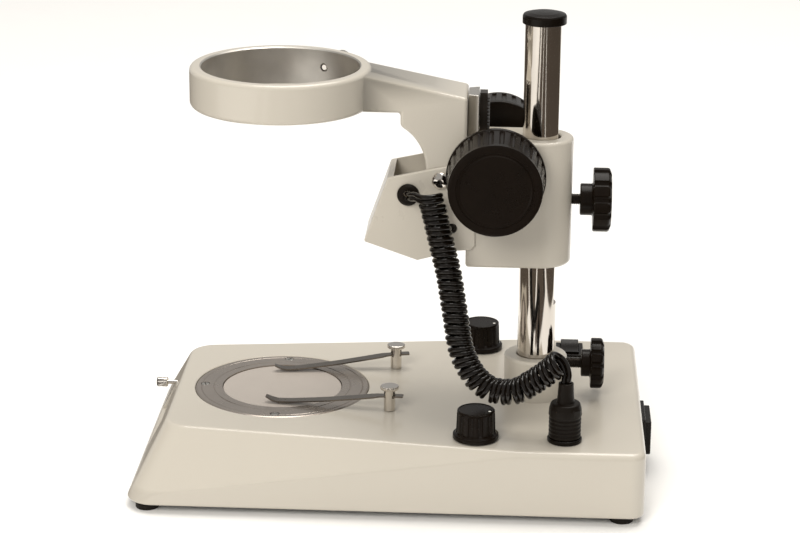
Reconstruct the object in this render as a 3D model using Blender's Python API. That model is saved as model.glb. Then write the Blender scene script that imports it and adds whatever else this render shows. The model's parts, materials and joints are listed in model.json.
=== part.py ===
"""Stereo-microscope pole stand with incident and transmitted light.

The stand faces -Y, the pole is at +Y, and X = 0 is the plane of symmetry of the stand.
The origin is on the table, under the middle of the base. Blender works in metres.
"""

import math

import bmesh
import bpy
from mathutils import Matrix, Vector

MM = 0.001
GAP = 0.3 * MM                      # left between pieces that touch

# Where things stand
FOOT_HEIGHT = 4.2 * MM
STAGE_Y = -63.5 * MM                # centre of the stage, under the optical axis
POLE_Y = 75.2 * MM                  # centre of the pole

# Base casting
BASE_HALF_WIDTH = 88.2 * MM
BASE_HEIGHT = 35.9 * MM
BASE_TOP = FOOT_HEIGHT + BASE_HEIGHT
BASE_FRONT = -139.0 * MM            # foot of the sloping front
BASE_REAR = 133.0 * MM
FRONT_SLOPE = 17.0 / 35.9           # how far the front leans back for each unit of height
TOP_FRONT_HALF_WIDTH = 66.0 * MM
FACET_FOOT_HEIGHT = 7.3 * MM        # height of the side facets' lower edge at the front
FACET_END_Y = 66.5 * MM             # where the facets run out towards the rear
FRONT_CORNER_RADIUS = 15.0 * MM
REAR_CORNER_RADIUS = 8.0 * MM
TOP_FILLET = 3.5 * MM
WALL = 4.0 * MM
TOP_WALL = 5.0 * MM
WINDOW_HALF_WIDTH = 27.0 * MM       # opening in the sloping front
WINDOW_LOW = FOOT_HEIGHT + 10.0 * MM
WINDOW_HIGH = FOOT_HEIGHT + 24.0 * MM
INLET_HALF_WIDTH = 13.6 * MM        # opening in the rear
INLET_LOW = FOOT_HEIGHT + 6.0 * MM
INLET_HIGH = FOOT_HEIGHT + 25.6 * MM
FOOT_RADIUS = 6.2 * MM
FOOT_X = 78.5 * MM
FOOT_FRONT_Y = -127.5 * MM
FOOT_REAR_Y = 121.5 * MM

# Stage
STAGE_RADIUS = 47.5 * MM
STAGE_BORE = 32.9 * MM
STAGE_THICKNESS = 2.4 * MM
STAGE_SEAT = BASE_TOP - STAGE_THICKNESS
SLEEVE_RADIUS = 36.0 * MM
GLASS_THICKNESS = 3.0 * MM
GLASS_RECESS = 1.7 * MM
STAGE_SCREW_CIRCLE = 42.6 * MM

# Stage clips
CLIP_X = 32.8 * MM
CLIP_Y = STAGE_Y + 60.9 * MM
CLIP_TURN = math.radians(7.5)

# Pole and its boss
POLE_RADIUS = 10.04 * MM
POLE_FLAT_DEPTH = 1.25 * MM
POLE_FLAT_START = FOOT_HEIGHT + 88.5 * MM
POLE_TOP = FOOT_HEIGHT + 245.6 * MM
BOSS_RADIUS = 17.0 * MM
BOSS_TOP = FOOT_HEIGHT + 59.0 * MM
BOSS_FOOT = FOOT_HEIGHT + 18.0 * MM
BOSS_FLOOR = 3.0 * MM
LOWER_CLAMP_Z = FOOT_HEIGHT + 53.9 * MM

# Focus block on the pole
BLOCK_HALF_WIDTH = 17.1 * MM
BLOCK_FRONT = 36.3 * MM
BLOCK_BOTTOM = FOOT_HEIGHT + 112.3 * MM
BLOCK_TOP = FOOT_HEIGHT + 181.5 * MM
CHANNEL_DEPTH = 5.6 * MM            # depth of the dovetail channel in the block's front
UPPER_CLAMP_Z = FOOT_HEIGHT + 146.8 * MM

# Rack and pinion
PINION_Y = 51.8 * MM
PINION_Z = FOOT_HEIGHT + 166.3 * MM
MODULE = 0.6 * MM
PINION_TEETH = 16
PITCH_RADIUS = MODULE * PINION_TEETH / 2
TOOTH_PITCH = math.pi * MODULE
RACK_PITCH_Y = PINION_Y - PITCH_RADIUS
SHAFT_RADIUS = 4.0 * MM
KNOB_INNER_X = 28.0 * MM
KNOB_OUTER_X = 56.5 * MM
KNOB_FLUTES = 28
SHAFT_END_X = 44.0 * MM
SLIDE_ORIGIN = (0, BLOCK_FRONT, PINION_Z)

# Arm, ring and slide
ARM_HALF_WIDTH = 17.0 * MM
ARM_REAR = BLOCK_FRONT - GAP
ARM_FRONT = 14.5 * MM
ARM_BOTTOM = FOOT_HEIGHT + 124.0 * MM
SLIDE_TOP = FOOT_HEIGHT + 204.9 * MM
SLIDE_BOTTOM = FOOT_HEIGHT + 134.9 * MM
RING_RADIUS = 48.2 * MM
RING_BORE = 42.1 * MM
RING_BOTTOM = FOOT_HEIGHT + 195.8 * MM
RING_TOP = FOOT_HEIGHT + 216.9 * MM
RING_SCREW_ANGLE = math.radians(151.8)
RING_SCREW_Z = FOOT_HEIGHT + 207.0 * MM

# Lamp housing
HOUSING_HALF_WIDTH = 19.0 * MM
HOUSING_SHEET = 1.6 * MM
PIVOT_Y = 22.6 * MM
PIVOT_Z = FOOT_HEIGHT + 160.8 * MM
LAMP_LEAN = math.radians(19.1)      # the lamp's axis leans this far from the vertical
FLOOR_FRONT = (-17.8 * MM, FOOT_HEIGHT + 126.1 * MM)     # (y, z) of the sloping floor's ends
FLOOR_REAR = (10.8 * MM, FOOT_HEIGHT + 116.2 * MM)
LAMP_ON_FLOOR = 0.45                # how far along the floor the lamp's axis meets it
GROMMET_Y = 5.6 * MM
GROMMET_Z = FOOT_HEIGHT + 152.8 * MM
LOCK_Y = 29.0 * MM
LOCK_Z = FOOT_HEIGHT + 134.5 * MM

# Base controls
DIAL_X = 69.5 * MM
DIAL_Y = 44.5 * MM
PLUG_X = 69.5 * MM
PLUG_Y = 90.8 * MM
SWITCH_X = -66.5 * MM
SWITCH_Y = 95.1 * MM
SWITCH_TILT = math.radians(9)

# Diffuser slider and lower lamp
ROD_X = -35.0 * MM
ROD_Z = FOOT_HEIGHT + 23.0 * MM
SLIDER_Y = STAGE_Y + 50.0 * MM
BEAM_Z = FOOT_HEIGHT + 13.5 * MM    # height of the lower lamp's beam
INNER_FLOOR = FOOT_HEIGHT + 2.2 * MM

# Curly cord
CORD_RADIUS = 1.75 * MM
COIL_RADIUS = 6.8 * MM
CORD_LAMP_TAIL = [(22.2, 5.6, 157.0), (25.5, 6.2, 157.4), (28.6, 8.6, 158.9), (30.6, 12.4, 160.0)]
CORD_COIL = [
    (31.6, 15.6, 158.9), (32.5, 19.4, 154.6), (34.0, 21.6, 145.1), (37.0, 25.0, 132.4),
    (41.0, 28.4, 120.0), (45.0, 30.8, 107.6), (48.5, 32.7, 97.8), (53.0, 35.1, 85.6),
    (56.5, 38.5, 77.5), (60.0, 43.9, 70.2), (63.0, 50.9, 65.6), (65.0, 58.2, 64.6),
    (67.0, 65.5, 66.2), (68.0, 73.1, 71.1), (69.0, 80.0, 76.6),
]
CORD_PLUG_TAIL = [(69.3, 83.6, 80.2), (69.5, 87.2, 82.2), (69.5, 90.2, 80.8), (69.5, 90.8, 77.2)]


# ---------------------------------------------------------------- helpers

def clear_scene():
    for obj in list(bpy.data.objects):
        bpy.data.objects.remove(obj, do_unlink=True)


def material(name, colour, roughness, metallic=0.0):
    made = bpy.data.materials.get(name) or bpy.data.materials.new(name)
    made.use_nodes = True
    shader = made.node_tree.nodes["Principled BSDF"]
    shader.inputs["Base Color"].default_value = (*colour, 1.0)
    shader.inputs["Roughness"].default_value = roughness
    shader.inputs["Metallic"].default_value = metallic
    return made


def place(name, mesh, look, location=(0, 0, 0), rotation=(0, 0, 0)):
    obj = bpy.data.objects.new(name, mesh)
    bpy.context.scene.collection.objects.link(obj)
    obj.location = location
    obj.rotation_euler = rotation
    if look:
        mesh.materials.append(look)
    return obj


def mesh_from(bm, name, smooth_angle=None):
    bmesh.ops.remove_doubles(bm, verts=bm.verts, dist=1e-7)
    bmesh.ops.recalc_face_normals(bm, faces=bm.faces)
    mesh = bpy.data.meshes.new(name)
    bm.to_mesh(mesh)
    bm.free()
    if smooth_angle is not None:
        mesh.shade_smooth()
        mesh.set_sharp_from_angle(angle=math.radians(smooth_angle))
    return mesh


def rings_mesh(name, rings, segments, through=False):
    """A solid of rings about Z. A ring is (radius, z), and a radius may be a function of the angle.
    The ends are capped, or joined to each other when the piece has a hole all the way through."""
    bm = bmesh.new()
    loops = []
    for radius, z in rings:
        loop = []
        for k in range(segments):
            angle = 2 * math.pi * k / segments
            r = radius(angle) if callable(radius) else radius
            loop.append(bm.verts.new((r * math.cos(angle), r * math.sin(angle), z)))
        loops.append(loop)
    pairs = list(zip(loops, loops[1:]))
    if through:
        pairs.append((loops[-1], loops[0]))
    else:
        bm.faces.new(loops[0])
        bm.faces.new(loops[-1])
    for low, high in pairs:
        for k in range(segments):
            n = (k + 1) % segments
            bm.faces.new((low[k], low[n], high[n], high[k]))
    return mesh_from(bm, name, 35)


def turned(name, rings, segments, look, location=(0, 0, 0), rotation=(0, 0, 0), through=False):
    return place(name, rings_mesh(name, rings, segments, through), look, location, rotation)


def fluted(radius, depth, flutes):
    """A radius with rounded hollows cut into it."""
    def at(angle):
        return radius - depth * max(0.0, -math.cos(flutes * angle)) ** 0.6
    return at


def prism_mesh(name, outline, low, high, axis="Z"):
    """An outline of (a, b) points extruded from low to high: in XY along Z, or in YZ along X."""
    bm = bmesh.new()
    if axis == "Z":
        floor = [bm.verts.new((a, b, low)) for a, b in outline]
        step = Vector((0, 0, high - low))
    else:
        floor = [bm.verts.new((low, a, b)) for a, b in outline]
        step = Vector((high - low, 0, 0))
    face = bm.faces.new(floor)
    grown = bmesh.ops.extrude_face_region(bm, geom=[face])
    moved = [item for item in grown["geom"] if isinstance(item, bmesh.types.BMVert)]
    bmesh.ops.translate(bm, verts=moved, vec=step)
    return mesh_from(bm, name, 35)


def prism(name, outline, low, high, look, axis="Z"):
    return place(name, prism_mesh(name, outline, low, high, axis), look)


def box_mesh(name, low, high):
    outline = [(low[0], low[1]), (high[0], low[1]), (high[0], high[1]), (low[0], high[1])]
    return prism_mesh(name, outline, low[2], high[2])


def box(name, low, high, look=None):
    return place(name, box_mesh(name, low, high), look)


def hull_mesh(name, points, smooth_angle=35):
    bm = bmesh.new()
    for point in points:
        bm.verts.new(point)
    made = bmesh.ops.convex_hull(bm, input=bm.verts)
    loose = {item for key in ("geom_interior", "geom_unused") for item in made[key]}
    loose = [item for item in loose if isinstance(item, bmesh.types.BMVert)]
    bmesh.ops.delete(bm, geom=loose, context="VERTS")
    bmesh.ops.dissolve_limit(bm, angle_limit=math.radians(0.5), verts=bm.verts, edges=bm.edges)
    return mesh_from(bm, name, smooth_angle)


def modify_bevel(obj, width, segments=2, angle=30):
    bevel = obj.modifiers.new("Bevel", "BEVEL")
    bevel.width = width
    bevel.segments = segments
    bevel.limit_method = "ANGLE"
    bevel.angle_limit = math.radians(angle)


def combine(obj, tool, operation="DIFFERENCE"):
    tool.hide_render = True
    tool.display_type = "WIRE"
    boolean = obj.modifiers.new(tool.name, "BOOLEAN")
    boolean.operation = operation
    boolean.solver = "EXACT"
    boolean.object = tool


def drill(obj, name, radius, depth, location, rotation=(0, 0, 0), segments=32):
    """Cuts a round hole centred on location, along the Z that rotation turns."""
    rings = [(radius, -depth / 2), (radius, depth / 2)]
    combine(obj, turned(name, rings, segments, None, location, rotation))


def move_origin(obj, point):
    """Puts an unrotated object's origin on its joint's axis, leaving its shape where it is."""
    obj.data.transform(Matrix.Translation(-Vector(point)))
    obj.location = point


ALONG_X = (0, math.pi / 2, 0)
ALONG_MINUS_X = (0, -math.pi / 2, 0)
ALONG_Y = (-math.pi / 2, 0, 0)
ALONG_MINUS_Y = (math.pi / 2, 0, 0)

ENAMEL = ("ivory enamel", (0.74, 0.71, 0.63), 0.32)
CHROME = ("chrome", (0.78, 0.78, 0.77), 0.08, 1.0)
BLACK = ("black plastic", (0.018, 0.016, 0.015), 0.38)
RUBBER = ("black rubber", (0.012, 0.012, 0.012), 0.62)
STEEL = ("steel", (0.50, 0.49, 0.47), 0.30, 1.0)
DARK_STEEL = ("oiled steel", (0.16, 0.15, 0.14), 0.42, 1.0)
ALUMINIUM = ("machined aluminium", (0.72, 0.71, 0.69), 0.33, 1.0)
STAGE_METAL = ("stage metal", (0.30, 0.27, 0.24), 0.40, 1.0)
BRASS = ("brass", (0.72, 0.55, 0.28), 0.30, 1.0)
FROST = ("frosted glass", (0.62, 0.60, 0.57), 0.55)
SHEET = ("galvanised sheet", (0.55, 0.56, 0.56), 0.45, 1.0)
CERAMIC = ("ceramic", (0.80, 0.78, 0.72), 0.55)
BOARD = ("circuit board", (0.05, 0.22, 0.10), 0.45)


# ---------------------------------------------------------------- base casting

def front_y(z):
    """Where the sloping front stands at height z."""
    return BASE_FRONT + (z - FOOT_HEIGHT) * FRONT_SLOPE


def corner_points(x, y, z, radius, fillet=0.0):
    """Points of a rounded corner: round in plan, and rounded over to the top when it has a fillet."""
    side = 1 if x > 0 else -1
    along = 1 if y > 0 else -1
    centre = Vector((x - side * radius, y - along * radius, z - fillet))
    points = []
    for step in range(5):
        turn = math.pi / 2 * step / 4
        out = Vector((side * math.cos(turn), along * math.sin(turn), 0))
        for rise in ([0, 30, 60, 90] if fillet else [0]):
            tilt = math.radians(rise)
            reach = radius - fillet + fillet * math.cos(tilt)
            points.append(centre + out * reach + Vector((0, 0, fillet * math.sin(tilt))))
    return points


def base_outer_points():
    knee = FOOT_HEIGHT + FACET_FOOT_HEIGHT
    points = []
    for side in (-1, 1):
        wide = side * BASE_HALF_WIDTH
        points += corner_points(wide, BASE_FRONT, FOOT_HEIGHT, FRONT_CORNER_RADIUS)
        points += corner_points(wide, front_y(knee), knee, FRONT_CORNER_RADIUS)
        points += corner_points(wide, BASE_REAR, FOOT_HEIGHT, REAR_CORNER_RADIUS)
        points += corner_points(wide, BASE_REAR, BASE_TOP, REAR_CORNER_RADIUS, TOP_FILLET)
        top_front = side * TOP_FRONT_HALF_WIDTH
        points += corner_points(top_front, front_y(BASE_TOP), BASE_TOP, FRONT_CORNER_RADIUS, TOP_FILLET)
        for rise in (0, 30, 60, 90):
            tilt = math.radians(rise)
            x = wide - side * TOP_FILLET * (1 - math.cos(tilt))
            points.append(Vector((x, FACET_END_Y, BASE_TOP - TOP_FILLET * (1 - math.sin(tilt)))))
    return points


def base_inner_points(low, high, clearance=0.0):
    """The hollow of the casting between two heights, or what fits in it with some clearance."""
    inset = WALL + clearance
    knee = FOOT_HEIGHT + FACET_FOOT_HEIGHT
    points = []
    for side in (-1, 1):
        wide = side * (BASE_HALF_WIDTH - inset)
        heights = [low] + [z for z in (knee,) if low < z < high]
        for z in heights:
            points += corner_points(wide, front_y(z) + inset, z, FRONT_CORNER_RADIUS - WALL)
        if high > knee:
            share = (high - knee) / (BASE_TOP - knee)
            narrow = BASE_HALF_WIDTH - share * (BASE_HALF_WIDTH - TOP_FRONT_HALF_WIDTH) - inset
            points += corner_points(side * narrow, front_y(high) + inset, high, FRONT_CORNER_RADIUS - WALL)
            points.append(Vector((wide, FACET_END_Y, high)))
        else:
            points += corner_points(wide, front_y(high) + inset, high, FRONT_CORNER_RADIUS - WALL)
        for z in (low, high):
            points += corner_points(wide, BASE_REAR - inset, z, REAR_CORNER_RADIUS - WALL)
    return points


def make_base_casting():
    look = material(*ENAMEL)
    casting = place("base_casting", hull_mesh("base_casting", base_outer_points()), look)
    hollow = hull_mesh("base_hollow", base_inner_points(0.0, BASE_TOP - TOP_WALL))
    combine(casting, place("base_hollow", hollow, None))
    edge = 1.2 * MM
    boss_rings = [(BOSS_RADIUS, BOSS_FOOT), (BOSS_RADIUS, BOSS_TOP - edge), (BOSS_RADIUS - edge, BOSS_TOP)]
    combine(casting, turned("pole_boss", boss_rings, 36, None, (0, POLE_Y, 0)), "UNION")
    pole_hole = [(POLE_RADIUS + GAP, BOSS_FOOT + BOSS_FLOOR), (POLE_RADIUS + GAP, BOSS_TOP + 5 * MM)]
    combine(casting, turned("pole_hole", pole_hole, 36, None, (0, POLE_Y, 0)))
    clamp_hole = (0, POLE_Y + POLE_RADIUS + 5 * MM, LOWER_CLAMP_Z)
    drill(casting, "lower_clamp_hole", 3.3 * MM, 14 * MM, clamp_hole, ALONG_Y, 16)
    seat = [(STAGE_RADIUS + 0.4 * MM, STAGE_SEAT - GAP), (STAGE_RADIUS + 0.4 * MM, BASE_TOP + 5 * MM)]
    combine(casting, turned("stage_seat", seat, 40, None, (0, STAGE_Y, 0)))
    drill(casting, "stage_bore", SLEEVE_RADIUS + 0.6 * MM, 20 * MM, (0, STAGE_Y, BASE_TOP), segments=40)
    window_low = (-WINDOW_HALF_WIDTH, BASE_FRONT - 5 * MM, WINDOW_LOW)
    window_high = (WINDOW_HALF_WIDTH, BASE_FRONT + 25 * MM, WINDOW_HIGH)
    combine(casting, box("front_window", window_low, window_high))
    drill(casting, "rod_hole", 1.6 * MM, 40 * MM, (ROD_X, BASE_FRONT + 10 * MM, ROD_Z), ALONG_Y, 16)
    inlet_low = (-INLET_HALF_WIDTH, BASE_REAR - 10 * MM, INLET_LOW)
    inlet_high = (INLET_HALF_WIDTH, BASE_REAR + 10 * MM, INLET_HIGH)
    combine(casting, box("inlet_opening", inlet_low, inlet_high))
    switch_low = (SWITCH_X - 9.4 * MM, SWITCH_Y - 6.6 * MM, BASE_TOP - 10 * MM)
    switch_high = (SWITCH_X + 9.4 * MM, SWITCH_Y + 6.6 * MM, BASE_TOP + 10 * MM)
    combine(casting, box("switch_opening", switch_low, switch_high))
    for side in (-1, 1):
        drill(casting, f"dial_hole_{side}", 3.8 * MM, 20 * MM, (side * DIAL_X, DIAL_Y, BASE_TOP), segments=16)
        drill(casting, f"clip_hole_{side}", 2.3 * MM, 20 * MM, (side * CLIP_X, CLIP_Y, BASE_TOP), segments=12)
    drill(casting, "socket_hole", 6.3 * MM, 20 * MM, (PLUG_X, PLUG_Y, BASE_TOP), segments=20)


def make_base_plate_and_feet():
    low = FOOT_HEIGHT + 0.4 * MM
    points = base_inner_points(low, low + 1.5 * MM, clearance=0.4 * MM)
    plate = place("base_plate", hull_mesh("base_plate", points), material(*SHEET))
    for row in range(3):
        for column in range(5):
            x = (column - 2) * 14 * MM
            y = (10 + 12 * row) * MM
            slot_low = (x - 4.5 * MM, y - 1.5 * MM, 0)
            slot_high = (x + 4.5 * MM, y + 1.5 * MM, 10 * MM)
            combine(plate, box(f"vent_{row}_{column}", slot_low, slot_high))
    edge = 0.8 * MM
    rings = [
        (FOOT_RADIUS - edge, 0), (FOOT_RADIUS, edge), (FOOT_RADIUS, 3.0 * MM),
        (FOOT_RADIUS - edge, FOOT_HEIGHT - GAP),
    ]
    corners = [(x, y) for y in (FOOT_FRONT_Y, FOOT_REAR_Y) for x in (-FOOT_X, FOOT_X)]
    for number, (x, y) in enumerate(corners, 1):
        turned(f"foot_{number}", rings, 20, material(*RUBBER), (x, y, 0))


# ---------------------------------------------------------------- stage

def make_stage():
    """The ring carries the frosted glass on a ledge, and three screws hold it in the base."""
    top = BASE_TOP
    glass_top = top - GLASS_RECESS
    ledge = glass_top - GLASS_THICKNESS - GAP
    ledge_radius = STAGE_BORE - 2.4 * MM
    rings = [
        (STAGE_BORE, top), (STAGE_BORE, ledge), (ledge_radius, ledge),
        (ledge_radius, ledge - 1.8 * MM), (SLEEVE_RADIUS, ledge - 1.8 * MM),
        (SLEEVE_RADIUS, STAGE_SEAT), (STAGE_RADIUS, STAGE_SEAT), (STAGE_RADIUS, top - 0.5 * MM),
        (STAGE_RADIUS - 0.5 * MM, top),
    ]
    here = (0, STAGE_Y, 0)
    ring = turned("stage_ring", rings, 40, material(*STAGE_METAL), here, through=True)
    glass = [
        (STAGE_BORE - 0.8 * MM, glass_top - GLASS_THICKNESS), (STAGE_BORE - GAP, glass_top - 0.5 * MM),
        (STAGE_BORE - 0.8 * MM, glass_top),
    ]
    turned("stage_glass", glass, 40, material(*FROST), here)
    head = [(1.0 * MM, top - 2.0 * MM), (2.2 * MM, top - 0.9 * MM), (2.2 * MM, top - 0.1 * MM)]
    for number, turn in enumerate((-90, 0, 180), 1):
        angle = math.radians(turn)
        x = STAGE_SCREW_CIRCLE * math.cos(angle)
        spot = (x, STAGE_Y + STAGE_SCREW_CIRCLE * math.sin(angle), 0)
        sink = [
            (1.3 * MM, top - 5 * MM), (1.3 * MM, top - 2.3 * MM), (2.5 * MM, top - 1.1 * MM),
            (2.5 * MM, top + 1 * MM),
        ]
        combine(ring, turned(f"screw_sink_{number}", sink, 12, None, spot))
        turned(f"stage_screw_{number}", head, 12, material(*STEEL), spot)


def make_stage_clip(name, side):
    """A post that turns in the base, and a spring strip through a slot in it."""
    where = (side * CLIP_X, CLIP_Y, 0)
    turn = side * CLIP_TURN
    z = BASE_TOP
    rings = [
        (2.0 * MM, z - 8 * MM), (2.0 * MM, z + GAP), (3.1 * MM, z + GAP), (3.1 * MM, z + 11.6 * MM),
        (4.2 * MM, z + 12.0 * MM), (4.9 * MM, z + 12.6 * MM), (4.9 * MM, z + 13.6 * MM),
        (4.4 * MM, z + 14.1 * MM),
    ]
    post = turned(f"{name}_post", rings, 16, material(*CHROME), where, (0, 0, -turn))
    slot_z = z + 8.3 * MM
    slot_half = 0.8 * MM
    slot_low = (-2.5 * MM, -6 * MM, slot_z - slot_half)
    slot = box(f"{name}_slot", slot_low, (2.5 * MM, 6 * MM, slot_z + slot_half))
    slot.location = where
    slot.rotation_euler = (0, 0, -turn)
    combine(post, slot)
    # Along the strip, its rise above the base and half its width, in millimetres
    stations = [
        (7.4, 8.5, 1.4), (6.6, 8.5, 2.1), (0, 8.3, 2.1), (-5, 7.9, 2.2), (-9, 7.3, 3.0), (-20, 5.6, 3.0),
        (-36, 3.3, 2.9), (-52, 1.5, 2.8), (-59, 1.0, 2.7), (-62, 1.0, 2.6), (-65, 1.7, 2.4), (-68, 3.0, 1.6),
    ]
    half = 0.4 * MM
    bm = bmesh.new()
    loops = []
    for along, rise, wide in stations:
        corners = ((-wide, -half), (wide, -half), (wide, half), (-wide, half))
        loop = [bm.verts.new((u * MM, along * MM, z + rise * MM + v)) for u, v in corners]
        loops.append(loop)
    bm.faces.new(loops[0])
    bm.faces.new(loops[-1])
    for first, second in zip(loops, loops[1:]):
        for k in range(4):
            n = (k + 1) % 4
            bm.faces.new((first[k], first[n], second[n], second[k]))
    place(f"{name}_strip", mesh_from(bm, name, 40), material(*STEEL), where, (0, 0, -turn))


# ---------------------------------------------------------------- pole and clamps

def pole_radius(angle):
    """The pole's flat faces the rear."""
    away = math.sin(angle)
    flat = POLE_RADIUS - POLE_FLAT_DEPTH
    return flat / away if away > flat / POLE_RADIUS else POLE_RADIUS


def make_pole():
    here = (0, POLE_Y, 0)
    rings = [
        (POLE_RADIUS, BOSS_FOOT + BOSS_FLOOR + GAP), (POLE_RADIUS, POLE_FLAT_START),
        (pole_radius, POLE_FLAT_START), (pole_radius, POLE_TOP),
    ]
    turned("pole", rings, 48, material(*CHROME), here)
    top = POLE_TOP + 2.8 * MM
    bottom = POLE_TOP - 3.4 * MM
    inside = POLE_RADIUS + GAP
    outside = 11.6 * MM
    rings = [
        (inside, POLE_TOP + GAP), (inside, bottom), (outside - 0.4 * MM, bottom),
        (outside, bottom + 0.5 * MM),
        (outside, top - 2.2 * MM), (11.0 * MM, top - 1.3 * MM), (7.5 * MM, top - 0.4 * MM), (3 * MM, top),
    ]
    turned("pole_cap", rings, 28, material(*BLACK), here)


def make_clamp(name, z, pole_face, hub_radius, hub_start, head_radius, head_start, head_end):
    """A screw that points at the pole, and a knob with a fluted head and a blind hole for the screw.
    Distances are from the pole's axis."""
    here = (0, POLE_Y, z)
    screw_radius = 3.0 * MM
    screw_end = hub_start + 6 * MM
    screw = [(2.2 * MM, pole_face), (screw_radius, pole_face + 0.8 * MM), (screw_radius, screw_end)]
    turned(f"{name}_screw", screw, 20, material(*STEEL), here, ALONG_Y)
    edge = fluted(head_radius, 1.6 * MM, 12)
    bore = screw_radius + GAP
    knob = [
        (bore, screw_end + GAP), (bore, hub_start), (hub_radius, hub_start), (hub_radius, head_start),
        (edge, head_start), (edge, head_end - 1.0 * MM), (head_radius - 2.4 * MM, head_end),
    ]
    turned(f"{name}_knob", knob, 36, material(*BLACK), here, ALONG_Y)


def make_clamps():
    face = POLE_RADIUS + GAP
    flat = face - POLE_FLAT_DEPTH
    make_clamp("lower_clamp", LOWER_CLAMP_Z, face, 7.4 * MM, 24.8 * MM, 13.7 * MM, 30.0 * MM, 37.2 * MM)
    make_clamp("upper_clamp", UPPER_CLAMP_Z, flat, 8.5 * MM, 21.4 * MM, 17.2 * MM, 28.3 * MM, 38.0 * MM)


# ---------------------------------------------------------------- focus block

def block_outline():
    points = [(-BLOCK_HALF_WIDTH, BLOCK_FRONT), (BLOCK_HALF_WIDTH, BLOCK_FRONT)]
    steps = 20
    for k in range(steps + 1):
        turn = math.pi * k / steps
        points.append((BLOCK_HALF_WIDTH * math.cos(turn), POLE_Y + BLOCK_HALF_WIDTH * math.sin(turn)))
    return points


def dovetail_outline(clearance=0.0, overrun=0.0):
    """Wider at its back than at the block's front face. A cutter has clearance and an overrun."""
    front_x, back_x = 8.2 * MM + clearance, 10.4 * MM + clearance
    front, back = BLOCK_FRONT - overrun, BLOCK_FRONT + CHANNEL_DEPTH + clearance
    return [(front_x, front), (back_x, back), (-back_x, back), (-front_x, front)]


def make_block():
    shape = prism_mesh("focus_block", block_outline(), BLOCK_BOTTOM, BLOCK_TOP)
    block = place("focus_block", shape, material(*ENAMEL))
    modify_bevel(block, 1.8 * MM, 2, 50)
    drill(block, "block_bore", POLE_RADIUS + GAP, 200 * MM, (0, POLE_Y, PINION_Z), segments=36)
    low, high = BLOCK_BOTTOM - 10 * MM, BLOCK_TOP + 10 * MM
    combine(block, prism("dovetail_channel", dovetail_outline(GAP, 5 * MM), low, high, None))
    groove_half = 4.6 * MM
    groove_back = RACK_PITCH_Y + 1.1 * MM
    combine(block, box("rack_groove", (-groove_half, BLOCK_FRONT, low), (groove_half, groove_back, high)))
    drill(block, "pinion_pocket", 6.0 * MM, 12 * MM, (0, PINION_Y, PINION_Z), ALONG_X, 24)
    drill(block, "shaft_bore", 6.3 * MM, 80 * MM, (0, PINION_Y, PINION_Z), ALONG_X, 24)
    clamp_hole = (0, POLE_Y + POLE_RADIUS + 6 * MM, UPPER_CLAMP_Z)
    drill(block, "upper_clamp_hole", 3.3 * MM, 14 * MM, clamp_hole, ALONG_Y, 16)
    move_origin(block, (0, POLE_Y, UPPER_CLAMP_Z))


def make_bearings():
    """Flanged brass bushes that carry the pinion shaft in the block."""
    inner, sleeve, flange = SHAFT_RADIUS + GAP, 6.0 * MM, 8.6 * MM
    face = BLOCK_HALF_WIDTH + GAP
    rings = [
        (inner, 7.0 * MM), (sleeve, 7.0 * MM), (sleeve, face), (flange, face),
        (flange, face + 2.7 * MM), (inner, face + 2.7 * MM),
    ]
    for name, turn in (("near", ALONG_X), ("far", ALONG_MINUS_X)):
        turned(f"bearing_{name}", rings, 20, material(*BRASS), (0, PINION_Y, PINION_Z), turn, through=True)


# ---------------------------------------------------------------- pinion and focus knobs

def pinion_radius(angle):
    """Teeth with straight flanks, thinner than their gaps. A gap faces the rack at rest."""
    pitch = 2 * math.pi / PINION_TEETH
    place_in_pitch = abs((angle / pitch) % 1.0 - 0.5)
    root = PITCH_RADIUS - 1.2 * MODULE
    tip = PITCH_RADIUS + 0.85 * MODULE
    rise = (0.33 - place_in_pitch) / 0.22
    return root + (tip - root) * min(1.0, max(0.0, rise))


def make_pinion():
    """A plain shaft with the teeth cut on its thicker middle."""
    spot = (0, PINION_Y, PINION_Z)
    half = 4.2 * MM
    end = SHAFT_END_X
    rings = [
        (SHAFT_RADIUS, -end), (SHAFT_RADIUS, -half), (pinion_radius, -half), (pinion_radius, half),
        (SHAFT_RADIUS, half), (SHAFT_RADIUS, end),
    ]
    turned("pinion_shaft", rings, PINION_TEETH * 4, material(*STEEL), spot, ALONG_X)


def make_focus_knobs():
    """Large knobs with a smooth rim, flutes and a recessed face, on a hub at each end of the shaft."""
    back, front = 26.2 * MM, 24.3 * MM
    bore = SHAFT_RADIUS + GAP
    hub, hub_start = 9.6 * MM, BLOCK_HALF_WIDTH + 3.5 * MM
    inner, outer = KNOB_INNER_X, KNOB_OUTER_X
    deep = fluted(back - 0.4 * MM, 1.1 * MM, KNOB_FLUTES)
    shallow = fluted(front + 0.2 * MM, 0.9 * MM, KNOB_FLUTES)
    rings = [
        (bore, SHAFT_END_X + GAP), (bore, hub_start), (hub, hub_start), (hub, inner),
        (back, inner), (back, inner + 3.6 * MM), (deep, inner + 4.4 * MM), (shallow, outer - 4.0 * MM),
        (front, outer - 3.4 * MM), (front - 0.8 * MM, outer), (20.0 * MM, outer),
        (19.4 * MM, outer - 1.4 * MM),
    ]
    spot = (0, PINION_Y, PINION_Z)
    for name, turn in (("near", ALONG_X), ("far", ALONG_MINUS_X)):
        turned(f"focus_knob_{name}", rings, KNOB_FLUTES * 2, material(*BLACK), spot, turn)


# ---------------------------------------------------------------- arm, ring, slide and rack

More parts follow.
